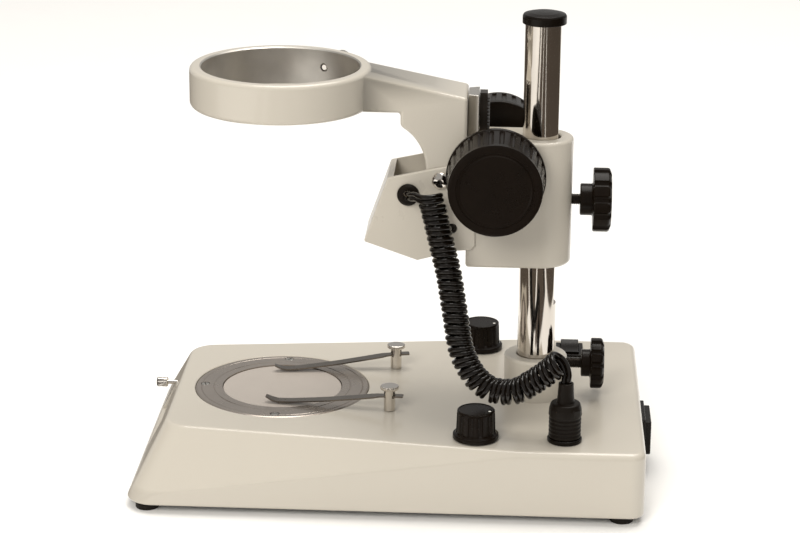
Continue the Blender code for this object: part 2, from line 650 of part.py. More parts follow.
def arm_outline():
    """The arm's side view: sloping top, level underside, and a hollow curve down to the slide."""
    base = FOOT_HEIGHT
    points = [
        (-22.0 * MM, base + 196.1 * MM), (1.0 * MM, base + 196.1 * MM), (1.0 * MM, base + 189.0 * MM),
    ]
    centre_y, centre_z, radius = -11.5 * MM, base + 166.0 * MM, ARM_FRONT + 11.5 * MM
    for k in range(1, 7):
        turn = math.radians(60 - 10 * k)
        points.append((centre_y + radius * math.cos(turn), centre_z + radius * math.sin(turn)))
    points += [
        (ARM_FRONT, ARM_BOTTOM), (ARM_REAR, ARM_BOTTOM),
        (ARM_REAR, base + 204.9 * MM), (-22.0 * MM, base + 216.4 * MM),
    ]
    return points


def make_arm():
    shape = prism_mesh("arm_and_ring", arm_outline(), -ARM_HALF_WIDTH, ARM_HALF_WIDTH, "X")
    arm = place("arm_and_ring", shape, material(*ENAMEL))
    modify_bevel(arm, 2.2 * MM, 2, 50)
    low, high, edge = RING_BOTTOM, RING_TOP, 2.4 * MM
    rings = [
        (RING_RADIUS - edge, low), (RING_RADIUS - 0.7 * MM, low + 0.7 * MM), (RING_RADIUS, low + edge),
        (RING_RADIUS, high - edge), (RING_RADIUS - 0.7 * MM, high - 0.7 * MM), (RING_RADIUS - edge, high),
    ]
    here = (0, STAGE_Y, 0)
    combine(arm, turned("ring_body", rings, 60, None, here), "UNION")
    bore = [(RING_BORE, low - 10 * MM), (RING_BORE, high + 10 * MM)]
    combine(arm, turned("ring_bore", bore, 60, None, here))
    out = Vector((math.cos(RING_SCREW_ANGLE), math.sin(RING_SCREW_ANGLE), 0))
    spot = Vector((0, STAGE_Y, RING_SCREW_Z)) + out * RING_BORE
    drill(arm, "ring_screw_hole", 2.3 * MM, 20 * MM, spot, (0, math.pi / 2, RING_SCREW_ANGLE), 20)
    for side in (-1, 1):
        spot = (side * ARM_HALF_WIDTH, PIVOT_Y, PIVOT_Z)
        drill(arm, f"pivot_hole_{side}", 2.5 * MM, 20 * MM, spot, ALONG_X, 20)
    move_origin(arm, SLIDE_ORIGIN)


def make_slide_and_rack():
    slide = prism("dovetail_slide", dovetail_outline(), SLIDE_BOTTOM, SLIDE_TOP, material(*ALUMINIUM))
    move_origin(slide, SLIDE_ORIGIN)
    back = BLOCK_FRONT + CHANNEL_DEPTH + GAP
    root = RACK_PITCH_Y - 1.15 * MODULE
    tip = RACK_PITCH_Y + 0.85 * MODULE
    points = [(back, SLIDE_BOTTOM), (root, SLIDE_BOTTOM)]
    first = math.ceil((SLIDE_BOTTOM - PINION_Z) / TOOTH_PITCH + 0.5)
    last = math.floor((SLIDE_TOP - PINION_Z) / TOOTH_PITCH - 0.5)
    for tooth in range(first, last + 1):
        z = PINION_Z + tooth * TOOTH_PITCH
        points += [(root, z - 0.62 * MODULE), (tip, z - 0.26 * MODULE)]
        points += [(tip, z + 0.26 * MODULE), (root, z + 0.62 * MODULE)]
    points += [(root, SLIDE_TOP), (back, SLIDE_TOP)]
    rack = prism("rack", points, -4.0 * MM, 4.0 * MM, material(*DARK_STEEL), "X")
    move_origin(rack, SLIDE_ORIGIN)


def make_ring_screw():
    edge = fluted(6.0 * MM, 0.5 * MM, 16)
    rings = [
        (2.0 * MM, 42.4 * MM), (2.0 * MM, 50.0 * MM), (3.6 * MM, 50.0 * MM), (3.6 * MM, 54.0 * MM),
        (edge, 54.0 * MM), (edge, 62.0 * MM), (5.2 * MM, 62.6 * MM),
    ]
    spot = (0, STAGE_Y, RING_SCREW_Z)
    turned("ring_lock_screw", rings, 32, material(*CHROME), spot, (0, math.pi / 2, RING_SCREW_ANGLE))


# ---------------------------------------------------------------- lamp housing

def housing_outline():
    """The side view: an open top and back, a steep front, and a floor that slopes down to the rear."""
    corners = [
        (-5.4, 161.6), (-17.8, 126.1), (10.8, 116.2), (17.2, 118.0), (29.2, 121.7),
        (39.1, 122.6), (41.5, 125.0), (41.2, 133.0), (33.5, 168.6), (26.5, 168.6),
    ]
    return [(y * MM, FOOT_HEIGHT + z * MM) for y, z in corners]


def lamp_seat():
    """Where the lamp's axis meets the housing's floor."""
    y, z = (a + LAMP_ON_FLOOR * (b - a) for a, b in zip(FLOOR_FRONT, FLOOR_REAR))
    return (0, y, z)


def make_housing():
    shape = prism_mesh("lamp_housing", housing_outline(), -HOUSING_HALF_WIDTH, HOUSING_HALF_WIDTH, "X")
    housing = place("lamp_housing", shape, material(*ENAMEL))
    modify_bevel(housing, 0.9 * MM, 2, 35)
    half = HOUSING_HALF_WIDTH - HOUSING_SHEET
    hollow = [(2.7, 175.0), (-15.8, 127.1), (11.4, 117.9), (11.4, 110.0), (56.5, 110.0), (56.5, 175.0)]
    outline = [(y * MM, FOOT_HEIGHT + z * MM) for y, z in hollow]
    combine(housing, prism("housing_hollow", outline, -half, half, None, "X"))
    drill(housing, "lamp_opening", 9.5 * MM, 12 * MM, lamp_seat(), (-LAMP_LEAN, 0, 0), 32)
    grommet = (HOUSING_HALF_WIDTH, GROMMET_Y, GROMMET_Z)
    drill(housing, "grommet_hole", 4.6 * MM, 10 * MM, grommet, ALONG_X, 24)
    for side in (-1, 1):
        spot = (side * HOUSING_HALF_WIDTH, PIVOT_Y, PIVOT_Z)
        drill(housing, f"pivot_clearance_{side}", 2.4 * MM, 10 * MM, spot, ALONG_X, 20)
    drill(housing, "lock_hole", 2.7 * MM, 10 * MM, (HOUSING_HALF_WIDTH, LOCK_Y, LOCK_Z), ALONG_X, 20)
    move_origin(housing, (0, PIVOT_Y, PIVOT_Z))


def make_housing_fittings():
    face = HOUSING_HALF_WIDTH
    inside = face - HOUSING_SHEET
    pivot = [
        (1.7 * MM, 9.0 * MM), (2.1 * MM, 9.4 * MM), (2.1 * MM, face + GAP), (4.6 * MM, face + GAP),
        (4.5 * MM, face + 1.2 * MM), (3.5 * MM, face + 2.3 * MM), (1.6 * MM, face + 2.9 * MM),
    ]
    lock = [(2.4 * MM, inside + 0.1 * MM), (2.4 * MM, face - 0.2 * MM), (2.0 * MM, face - 0.1 * MM)]
    for name, turn in (("near", ALONG_X), ("far", ALONG_MINUS_X)):
        turned(f"pivot_screw_{name}", pivot, 16, material(*CHROME), (0, PIVOT_Y, PIVOT_Z), turn)
    turned("lock_screw", lock, 20, material(*DARK_STEEL), (0, LOCK_Y, LOCK_Z), ALONG_X)
    hole = CORD_RADIUS + GAP
    grommet = [
        (hole, inside - 1.8 * MM), (5.4 * MM, inside - 1.8 * MM), (5.4 * MM, inside - GAP),
        (4.3 * MM, inside - GAP), (4.3 * MM, face + GAP), (5.9 * MM, face + GAP),
        (5.9 * MM, face + 1.6 * MM), (4.6 * MM, face + 2.9 * MM), (hole, face + 2.9 * MM),
    ]
    spot = (0, GROMMET_Y, GROMMET_Z)
    turned("cord_grommet", grommet, 20, material(*RUBBER), spot, ALONG_X, through=True)


def reflector_lamp(start):
    """A halogen lamp: the capsule stands in the middle of its reflector, and the base is behind."""
    profile = [
        (1.0, 4.5), (2.6, 6.0), (2.9, 9.8), (5.6, 8.0), (8.0, 4.0), (9.2, 0.0),
        (9.8, 0.0), (8.8, 4.0), (6.4, 8.0), (4.4, 10.5), (4.4, 15.4),
    ]
    return [(radius * MM, start + height * MM) for radius, height in profile]


def make_lamp():
    middle = lamp_seat()
    tilt = (-LAMP_LEAN, 0, 0)
    disc = [(11.6 * MM, 2.2 * MM), (11.6 * MM, 4.0 * MM)]
    turned("lamp_filter", disc, 32, material(*FROST), middle, tilt)
    turned("upper_lamp", reflector_lamp(5.0 * MM), 20, material(*ALUMINIUM), middle, tilt)
    socket = [(6.4 * MM, 21.0 * MM), (6.4 * MM, 33.0 * MM), (5.4 * MM, 34.0 * MM)]
    turned("lamp_socket", socket, 24, material(*CERAMIC), middle, tilt)


# ---------------------------------------------------------------- controls on the base

def make_dials():
    """Each dial: a potentiometer under the top, and a fluted knob with a skirt on its shaft."""
    z = BASE_TOP
    bore = 3.0 * MM + GAP
    ribbed = fluted(10.3 * MM, 0.7 * MM, 18)
    taper = fluted(9.9 * MM, 0.6 * MM, 18)
    knob = [
        (3.0 * MM, z - 6.5 * MM), (3.0 * MM, z + 0.6 * MM), (12.1 * MM, z + 0.6 * MM),
        (11.9 * MM, z + 3.0 * MM), (ribbed, z + 4.0 * MM), (taper, z + 15.0 * MM), (9.0 * MM, z + 16.1 * MM),
    ]
    under = z - TOP_WALL - GAP
    neck, neck_top = 3.5 * MM, under + 4.0 * MM
    pot = [
        (8.0 * MM, under - 9 * MM), (8.0 * MM, under), (neck, under), (neck, neck_top),
        (bore, neck_top), (bore, under - 2.6 * MM),
    ]
    for name, side in (("near", 1), ("far", -1)):
        spot = (side * DIAL_X, DIAL_Y, 0)
        turned(f"dial_{name}", knob, 36, material(*BLACK), spot)
        turned(f"dimmer_{name}", pot, 16, material(*SHEET), spot)


def middle_box(name, centre, half, low, high, look=None):
    """A box centred over (x, y), half = (half length, half width), between two heights."""
    corner = (centre[0] - half[0], centre[1] - half[1], low)
    opposite = (centre[0] + half[0], centre[1] + half[1], high)
    return box(name, corner, opposite, look)


def make_switch():
    """A rocker switch: a flanged frame through the base's top, and a rocker that tilts in it."""
    z = BASE_TOP
    here = (SWITCH_X, SWITCH_Y)
    look = material(*BLACK)
    frame = middle_box("switch_frame", here, (10.6 * MM, 7.7 * MM), z + GAP, z + 2.0 * MM, look)
    combine(frame, middle_box("switch_body", here, (9.0 * MM, 6.2 * MM), z - 14 * MM, z + 1.0 * MM), "UNION")
    combine(frame, middle_box("switch_well", here, (8.4 * MM, 5.4 * MM), z - 6 * MM, z + 8 * MM))
    profile = [
        (-7.6, 3.9), (-3.8, 3.1), (0, 2.8), (3.8, 3.1), (7.6, 3.9), (7.2, -1.2), (0, -3.4), (-7.2, -1.2),
    ]
    bm = bmesh.new()
    tilt = Matrix.Rotation(SWITCH_TILT, 4, "Y")
    sides = []
    for y in (-5.0, 5.0):
        sides.append([bm.verts.new(tilt @ Vector((x, y, rise)) * MM) for x, rise in profile])
        bm.faces.new(sides[-1])
    count = len(profile)
    for k in range(count):
        n = (k + 1) % count
        bm.faces.new((sides[0][k], sides[0][n], sides[1][n], sides[1][k]))
    place("switch_rocker", mesh_from(bm, "switch_rocker"), look, (SWITCH_X, SWITCH_Y, z + 0.4 * MM))


def make_socket_and_plug():
    z = BASE_TOP
    spot = (PLUG_X, PLUG_Y, 0)
    bore = 5.4 * MM
    socket = [
        (6.0 * MM, z - 9.0 * MM), (6.0 * MM, z + GAP), (9.1 * MM, z + GAP), (9.1 * MM, z + 1.9 * MM),
        (8.5 * MM, z + 2.4 * MM), (bore, z + 2.4 * MM), (bore, z - 7.0 * MM),
    ]
    turned("cord_socket", socket, 24, material(*BLACK), spot)
    base = z + 2.7 * MM
    top = z + 21.4 * MM
    boot_top = z + 35.8 * MM
    body = 8.45 * MM
    hole = CORD_RADIUS + GAP
    plug = [
        (5.0 * MM, z - 6.6 * MM), (5.0 * MM, base), (body - 0.5 * MM, base), (body, base + 0.5 * MM),
        (body, top - 1.2 * MM), (7.4 * MM, top), (4.6 * MM, top),
        (2.7 * MM, boot_top), (hole, boot_top), (hole, boot_top - 3.0 * MM),
    ]
    turned("cord_plug", plug, 24, material(*RUBBER), spot)


def rear_box(name, half_width, half_height, start, end, middle, look=None):
    """A box about (x, z) = middle that runs from start to end behind the base's rear face."""
    x, z = middle
    low = (x - half_width, BASE_REAR + start, z - half_height)
    high = (x + half_width, BASE_REAR + end, z + half_height)
    return box(name, low, high, look)


def make_inlet():
    """A mains inlet: a flange outside the rear, a collar through it, and three pins in a recess."""
    z = (INLET_LOW + INLET_HIGH) / 2
    look = material(*BLACK)
    inlet = rear_box("mains_inlet", 15.2 * MM, 11.4 * MM, GAP, 2.8 * MM, (0, z), look)
    collar = rear_box("inlet_collar", 13.2 * MM, 9.4 * MM, -16 * MM, 6.0 * MM, (0, z))
    combine(inlet, collar, "UNION")
    combine(inlet, rear_box("inlet_recess", 11.8 * MM, 7.8 * MM, -13 * MM, 12 * MM, (0, z)))
    for name, x, rise in (("live", -7.0, -1.5), ("neutral", 7.0, -1.5), ("earth", 0, 2.5)):
        spot = (x * MM, z + rise * MM)
        pin = rear_box(f"inlet_pin_{name}", 1.0 * MM, 2.0 * MM, -14.5 * MM, 3.0 * MM, spot)
        combine(inlet, pin, "UNION")


# ---------------------------------------------------------------- inside the base

def make_filter_slider():
    """A rod and knob at the front that draw a diffuser over the lower light path."""
    knob_rear = front_y(ROD_Z) - 4.0 * MM
    rod_length = SLIDER_Y - 8 * MM - knob_rear
    rod, knob = 1.2 * MM, 2.8 * MM
    rings = [
        (rod, -rod_length), (rod, 0), (knob - 0.4 * MM, 0), (knob, 0.4 * MM),
        (knob, 5.7 * MM), (knob - 0.4 * MM, 6.1 * MM),
    ]
    turned("slider_rod", rings, 20, material(*CHROME), (ROD_X, knob_rear, ROD_Z), ALONG_MINUS_Y)
    low, high = ROD_Z + 1.6 * MM, ROD_Z + 2.8 * MM
    half = 26 * MM
    left = ROD_X - 4 * MM
    frame_low = (left, SLIDER_Y - half, low)
    frame = box("slider_frame", frame_low, (half, SLIDER_Y + half, high), material(*SHEET))
    lug_low = (left, SLIDER_Y - 7.6 * MM, ROD_Z - 3 * MM)
    lug_high = (left + 8 * MM, SLIDER_Y - 3 * MM, high - 0.2 * MM)
    combine(frame, box("slider_lug", lug_low, lug_high), "UNION")
    drill(frame, "slider_window", 22.0 * MM, 10 * MM, (0, SLIDER_Y, high), segments=32)
    move_origin(frame, (ROD_X, SLIDER_Y, ROD_Z))
    disc = [(21.6 * MM, low - 0.2 * MM), (21.6 * MM, high + 0.2 * MM)]
    turned("slider_diffuser", disc, 32, material(*FROST), (0, SLIDER_Y, 0))


def make_lower_light():
    """A mirror at 45 degrees under the stage and a lamp that shines forward on to it."""
    glass_low, glass_high = (-20 * MM, -13.0 * MM, -1.2 * MM), (20 * MM, 13.0 * MM, 0.8 * MM)
    mirror = box("mirror", glass_low, glass_high, material(*CHROME))
    mirror.location = (0, STAGE_Y, BEAM_Z)
    mirror.rotation_euler = (math.radians(-45), 0, 0)
    foot = INNER_FLOOR
    front = STAGE_Y - 11.0 * MM
    reach = 21.6 * MM
    wedge = [(front, foot), (front + reach, foot), (front, foot + reach)]
    bracket = prism("mirror_bracket", wedge, -14 * MM, 14 * MM, None, "X")
    wall = 1.6 * MM
    room = 15.0 * MM
    corner = (front + wall, foot + wall)
    hollow = [corner, (corner[0] + room, corner[1]), (corner[0], corner[1] + room)]
    combine(bracket, prism("bracket_hollow", hollow, -20 * MM, 20 * MM, None, "X"))
    combine(mirror, bracket, "UNION")
    lamp_y = STAGE_Y + 60.0 * MM
    turned("lower_lamp", reflector_lamp(0.0), 20, material(*ALUMINIUM), (0, lamp_y, BEAM_Z), ALONG_Y)
    holder_low = (-12 * MM, lamp_y + 15.8 * MM, foot)
    holder_high = (12 * MM, lamp_y + 29 * MM, foot + 19.8 * MM)
    box("lower_lamp_holder", holder_low, holder_high, material(*CERAMIC))


def make_transformer():
    """A laminated core with a coil through its window, and the board that dims the lamps."""
    z = INNER_FLOOR
    here = (42 * MM, 102 * MM)
    core = middle_box("transformer", here, (20 * MM, 14 * MM), z, z + 24 * MM, material(*DARK_STEEL))
    combine(core, middle_box("core_window", here, (13 * MM, 20 * MM), z + 5 * MM, z + 19 * MM))
    coil = middle_box("transformer_coil", here, (13.5 * MM, 18 * MM), z + 4.6 * MM, z + 19.4 * MM)
    combine(core, coil, "UNION")
    board_centre = (-56 * MM, 49 * MM)
    middle_box("dimmer_board", board_centre, (22 * MM, 25 * MM), z, z + 1.6 * MM, material(*BOARD))


# ---------------------------------------------------------------- curly cord

def smooth_curve(points, steps):
    """Points of a smooth curve that passes through the given ones."""
    first = [2 * a - b for a, b in zip(points[0], points[1])]
    last = [2 * a - b for a, b in zip(points[-1], points[-2])]
    padded = [first, *points, last]
    found = []
    for k in range(len(points) - 1):
        p0, p1, p2, p3 = (Vector(p) for p in padded[k:k + 4])
        for step in range(steps):
            t = step / steps
            found.append(0.5 * (2 * p1 + (p2 - p0) * t + (2 * p0 - 5 * p1 + 4 * p2 - p3) * t ** 2
                                + (3 * p1 - p0 - 3 * p2 + p3) * t ** 3))
    found.append(Vector(points[-1]))
    return [point * MM for point in found]


def cord_tube(name, points, radius, look, resolution):
    curve = bpy.data.curves.new(name, "CURVE")
    curve.dimensions = "3D"
    curve.bevel_depth = radius
    curve.bevel_resolution = resolution
    curve.use_fill_caps = True
    spline = curve.splines.new("POLY")
    spline.points.add(len(points) - 1)
    for place_on_spline, point in zip(spline.points, points):
        place_on_spline.co = (*point, 1.0)
    curve.materials.append(look)
    obj = bpy.data.objects.new(name, curve)
    bpy.context.scene.collection.objects.link(obj)


def make_cord():
    look = material(*RUBBER)
    cord_tube("cord_lamp_tail", smooth_curve(CORD_LAMP_TAIL, 3), CORD_RADIUS, look, 2)
    cord_tube("cord_coil", smooth_curve(CORD_COIL, 2), COIL_RADIUS, look, 3)
    cord_tube("cord_plug_tail", smooth_curve(CORD_PLUG_TAIL, 3), CORD_RADIUS, look, 2)


clear_scene()
make_base_casting()
make_base_plate_and_feet()
make_stage()
make_stage_clip("clip_near", 1)
make_stage_clip("clip_far", -1)
make_pole()
make_clamps()
make_block()
make_bearings()
make_pinion()
make_focus_knobs()
make_arm()
make_slide_and_rack()
make_ring_screw()
make_housing()
make_housing_fittings()
make_lamp()
make_dials()
make_switch()
make_socket_and_plug()
make_inlet()
make_filter_slider()
make_lower_light()
make_transformer()
make_cord()
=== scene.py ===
"""The looks of a stereo-microscope pole stand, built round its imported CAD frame.

Lengths are in millimetres in the row frame: +Z up, the front at -Y, and the near side, with the curly
cord, at +X. A shape is scaled to metres as it is made.
"""

import json
import math

import bmesh
import bpy
from mathutils import Matrix, Vector

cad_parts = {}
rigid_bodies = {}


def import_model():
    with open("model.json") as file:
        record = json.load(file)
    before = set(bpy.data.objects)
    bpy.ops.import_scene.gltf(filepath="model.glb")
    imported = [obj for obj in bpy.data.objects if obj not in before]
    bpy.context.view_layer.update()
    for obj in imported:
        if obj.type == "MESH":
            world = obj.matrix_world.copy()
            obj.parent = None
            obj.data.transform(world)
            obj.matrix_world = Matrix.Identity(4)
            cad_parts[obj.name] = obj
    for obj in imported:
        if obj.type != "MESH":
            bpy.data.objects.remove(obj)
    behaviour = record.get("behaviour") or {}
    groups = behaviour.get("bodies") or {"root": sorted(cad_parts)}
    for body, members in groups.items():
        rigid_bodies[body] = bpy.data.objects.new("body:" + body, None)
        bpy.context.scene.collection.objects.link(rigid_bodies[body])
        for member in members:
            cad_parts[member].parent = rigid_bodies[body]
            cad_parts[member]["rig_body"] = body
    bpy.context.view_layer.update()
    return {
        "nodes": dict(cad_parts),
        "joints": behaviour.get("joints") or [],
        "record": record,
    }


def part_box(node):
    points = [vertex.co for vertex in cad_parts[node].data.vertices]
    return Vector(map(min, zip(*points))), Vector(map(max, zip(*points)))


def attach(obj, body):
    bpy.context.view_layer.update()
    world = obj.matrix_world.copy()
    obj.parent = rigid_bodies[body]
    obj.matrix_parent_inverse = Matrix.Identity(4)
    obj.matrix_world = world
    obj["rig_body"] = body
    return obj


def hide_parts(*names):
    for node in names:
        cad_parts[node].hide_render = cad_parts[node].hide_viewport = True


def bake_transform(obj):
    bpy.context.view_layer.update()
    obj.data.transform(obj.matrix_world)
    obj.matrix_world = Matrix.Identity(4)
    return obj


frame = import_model()

MM = 0.001
GAP = 0.3  # between pieces that touch, in millimetres
JOINTS = {joint["name"]: joint for joint in frame["joints"]}
BODY_OF = {name: node["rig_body"] for name, node in frame["nodes"].items()}
SLOT_OF = {part["node"]: part["material_slot"] for part in frame["record"]["subparts"]}


def low_of(node):
    return Vector(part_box(node)[0]) / MM


def high_of(node):
    return Vector(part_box(node)[1]) / MM


def centre_of(node):
    return (low_of(node) + high_of(node)) / 2


def joint_place(name):
    return Vector(JOINTS[name]["pos_m"]) / MM


# Places that the frame gives
STAGE = centre_of("stage_ring")
BASE_TOP = high_of("stage_ring").z
FOOT = low_of("base_casting").z
POLE = centre_of("pole")
PINION = joint_place("focus_turn")
PIVOT = joint_place("lamp_tilt")
PLUG = centre_of("cord_plug")
GROMMET = centre_of("cord_grommet")
LOCK = centre_of("lock_screw")

ALONG_X = (0, math.pi / 2, 0)
ALONG_MINUS_X = (0, -math.pi / 2, 0)
ALONG_Y = (-math.pi / 2, 0, 0)
ALONG_MINUS_Y = (math.pi / 2, 0, 0)


# ---- camera

def make_camera():
    yaw, pitch, roll = 0.0492, 0.3138, 0.0096
    forward = Vector((-math.cos(yaw) * math.cos(pitch), -math.sin(yaw) * math.cos(pitch), -math.sin(pitch)))
    level = forward.cross(Vector((0, 0, 1))).normalized()
    upright = level.cross(forward)
    right = math.cos(roll) * level + math.sin(roll) * upright
    up = math.cos(roll) * upright - math.sin(roll) * level
    data = bpy.data.cameras.new("camera")
    data.lens = 112.0
    data.sensor_width = 36.0
    data.clip_start = 0.05
    data.clip_end = 50.0
    camera = bpy.data.objects.new("camera", data)
    bpy.context.scene.collection.objects.link(camera)
    turn = Matrix((right, up, -forward)).transposed().to_4x4()
    camera.matrix_world = Matrix.Translation((1.27893, 0.06367, 0.52619)) @ turn
    bpy.context.scene.camera = camera


make_camera()


# ---- materials

def nodes_of(name):
    made = bpy.data.materials.new(name)
    made.use_nodes = True
    tree = made.node_tree
    return made, tree, tree.nodes["Principled BSDF"]


def add(tree, kind, inputs=None, **settings):
    """A node of that kind. An input's value is a constant or another node's output."""
    node = tree.nodes.new("ShaderNode" + kind)
    for key, value in settings.items():
        setattr(node, key, value)
    for key, value in (inputs or {}).items():
        socket = node.inputs[key]
        if isinstance(value, bpy.types.NodeSocket):
            tree.links.new(value, socket)
        else:
            socket.default_value = value
    return node


def own_place(tree):
    return add(tree, "TexCoord").outputs["Object"]


def lathe_place(tree):
    """The distance from the piece's own Z and its height there, so that a noise makes turning marks."""
    def math_node(operation, first, second):
        return add(tree, "Math", {0: first, 1: second}, operation=operation).outputs[0]

    parts = add(tree, "SeparateXYZ", {"Vector": own_place(tree)})
    squares = [math_node("POWER", parts.outputs[k], 2.0) for k in ("X", "Y")]
    radius = math_node("POWER", math_node("ADD", *squares), 0.5)
    return add(tree, "CombineXYZ", {"X": radius, "Z": parts.outputs["Z"]}).outputs[0]


def stretched_place(tree, x, y, z):
    return add(tree, "Mapping", {"Vector": own_place(tree), "Scale": (x, y, z)}).outputs[0]


def noise(tree, place, scale, detail=3.0, roughness=0.5):
    inputs = {"Vector": place, "Scale": scale, "Detail": detail, "Roughness": roughness}
    return add(tree, "TexNoise", inputs).outputs["Fac"]


def mapped(tree, value, low, high, start=0.3, end=0.7):
    inputs = {"Value": value, "From Min": start, "From Max": end, "To Min": low, "To Max": high}
    return add(tree, "MapRange", inputs).outputs["Result"]


def mixed(tree, factor, first, second):
    inputs = {"Factor": factor, "A": first, "B": second}
    node = add(tree, "Mix", None, data_type="RGBA")
    for key, value in inputs.items():
        socket = next(s for s in node.inputs if s.name == key and s.type in ("VALUE", "RGBA") and s.enabled)
        if isinstance(value, bpy.types.NodeSocket):
            tree.links.new(value, socket)
        else:
            socket.default_value = value
    return next(s for s in node.outputs if s.type == "RGBA")


def tint(colour, factor):
    return (*(min(1.0, c * factor) for c in colour), 1.0)


def surface(name, colour, rough, metallic=0.0, mottle=(0.05, 60.0), smudge=30.0, grain=(0.01, 900.0),
            lathe=False, stretch=None, wear=None, coat=0.0, specular=0.5):
    """A procedural finish. rough is its lowest and highest roughness; mottle is a share of the colour and a
    scale; grain is a bump height in millimetres and a scale; wear is the colour of fine rubbed specks."""
    made, tree, shader = nodes_of(name)
    place = own_place(tree)
    amount, scale = mottle
    shade = mapped(tree, noise(tree, place, scale, 4.0), 0.0, 1.0)
    colours = mixed(tree, shade, tint(colour, 1 - amount), tint(colour, 1 + amount))
    if wear:
        patches = mapped(tree, noise(tree, place, 8.0, 0.0), 0.0, 1.0, 0.40, 0.75)
        specks = mapped(tree, noise(tree, place, 1500.0, 4.0), 0.0, 0.7, 0.60, 0.70)
        bare = add(tree, "Math", {0: patches, 1: specks}, operation="MULTIPLY")
        colours = mixed(tree, bare.outputs[0], colours, (*wear, 1.0))
    tree.links.new(colours, shader.inputs["Base Color"])
    marks = lathe_place(tree) if lathe else stretched_place(tree, *stretch) if stretch else place
    smudges = noise(tree, place, smudge, 5.0, 0.6)
    tree.links.new(mapped(tree, smudges, rough[0], rough[1]), shader.inputs["Roughness"])
    height, fine = grain
    bump = add(tree, "Bump", {"Height": noise(tree, marks, fine, 5.0), "Distance": height * MM})
    tree.links.new(bump.outputs["Normal"], shader.inputs["Normal"])
    shader.inputs["Metallic"].default_value = metallic
    shader.inputs["Specular IOR Level"].default_value = specular
    shader.inputs["Coat Weight"].default_value = coat
    shader.inputs["Coat Roughness"].default_value = 0.12
    return made


ENAMEL = surface("ivory_enamel", (0.522, 0.482, 0.413), (0.275, 0.295), mottle=(0.005, 24.0),
                 grain=(0.009, 500.0), wear=(0.50, 0.46, 0.39), coat=0.45)
SHEET_ENAMEL = surface("sheet_enamel", (0.522, 0.482, 0.413), (0.27, 0.30), mottle=(0.006, 40.0),
                       grain=(0.012, 700.0), wear=(0.50, 0.46, 0.39), coat=0.4)
CHROME = surface("chrome_plate", (0.72, 0.68, 0.63), (0.04, 0.11), 1.0, mottle=(0.04, 40.0),
                 grain=(0.0015, 300.0))
POLE_CHROME = surface("pole_chrome", (0.66, 0.615, 0.56), (0.04, 0.13), 1.0, mottle=(0.06, 30.0), smudge=14.0,
                      grain=(0.004, 160.0), stretch=(1.0, 1.0, 0.03))
PHENOLIC = surface("black_phenolic", (0.0052, 0.0034, 0.0020), (0.22, 0.34), mottle=(0.2, 90.0),
                   grain=(0.008, 1400.0), wear=(0.012, 0.009, 0.006), specular=0.16)
KNOB_PLASTIC = surface("knob_plastic", (0.0062, 0.0036, 0.0019), (0.24, 0.34), mottle=(0.15, 120.0),
                       grain=(0.010, 1800.0), wear=(0.010, 0.007, 0.005), specular=0.14)
CORD_PVC = surface("cord_pvc", (0.0045, 0.0030, 0.0018), (0.09, 0.15), mottle=(0.25, 150.0),
                   grain=(0.004, 700.0), specular=0.42)
RUBBER = surface("moulded_rubber", (0.0080, 0.0056, 0.0038), (0.34, 0.50), mottle=(0.2, 150.0),
                 grain=(0.02, 1500.0), specular=0.16)
STEEL = surface("turned_steel", (0.56, 0.54, 0.50), (0.20, 0.34), 1.0, mottle=(0.06, 200.0),
                grain=(0.006, 3000.0), lathe=True)
SPRING_STEEL = surface("spring_steel", (0.21, 0.185, 0.16), (0.20, 0.32), 1.0, mottle=(0.10, 120.0),
                       grain=(0.004, 1500.0), stretch=(1.0, 0.05, 1.0))
DARK_STEEL = surface("oiled_steel", (0.060, 0.050, 0.042), (0.26, 0.42), 0.85, mottle=(0.2, 150.0),
                     grain=(0.006, 900.0), wear=(0.30, 0.27, 0.24))
MACHINED = surface("machined_aluminium", (0.66, 0.63, 0.585), (0.20, 0.32), 1.0, mottle=(0.06, 90.0),
                   grain=(0.006, 1400.0), stretch=(1.0, 1.0, 0.04))
BORE_METAL = surface("bored_aluminium", (0.66, 0.63, 0.58), (0.34, 0.46), 1.0, mottle=(0.07, 70.0),
                     smudge=60.0, grain=(0.010, 2200.0), stretch=(0.12, 0.12, 1.0))
STAGE_METAL = surface("stage_metal", (0.40, 0.355, 0.315), (0.22, 0.34), 0.85, mottle=(0.05, 45.0),
                      grain=(0.005, 1800.0), lathe=True)
BRASS = surface("turned_brass", (0.60, 0.43, 0.20), (0.22, 0.36), 1.0, mottle=(0.08, 120.0),
                grain=(0.006, 3000.0), lathe=True)
FROST = surface("ground_glass", (0.405, 0.362, 0.322), (0.30, 0.42), mottle=(0.02, 80.0),
                grain=(0.006, 4200.0))
MIRROR = surface("front_silver", (0.82, 0.82, 0.80), (0.02, 0.06), 1.0, mottle=(0.01, 60.0),
                 grain=(0.001, 200.0))
GALVANISED = surface("galvanised_sheet", (0.50, 0.50, 0.49), (0.30, 0.52), 0.9, mottle=(0.16, 130.0),
                     grain=(0.02, 260.0))
CERAMIC = surface("cream_ceramic", (0.70, 0.66, 0.58), (0.35, 0.5), mottle=(0.04, 200.0), grain=(0.02, 900.0))
BOARD = surface("green_board", (0.04, 0.16, 0.07), (0.3, 0.45), mottle=(0.15, 500.0), grain=(0.02, 1400.0))
MARKING = surface("white_marking", (0.78, 0.76, 0.70), (0.4, 0.55), mottle=(0.05, 400.0),
                  grain=(0.01, 2000.0))

LOOK_OF_SLOT = {
    "enamel": ENAMEL, "chrome": CHROME, "black_plastic": PHENOLIC, "rubber": RUBBER, "steel": STEEL,
    "dark_steel": DARK_STEEL, "aluminium": MACHINED, "stage_metal": STAGE_METAL, "brass": BRASS,
    "frosted_glass": FROST, "mirror": MIRROR, "sheet": GALVANISED, "ceramic": CERAMIC, "board": BOARD,
}


# ---- floor and light

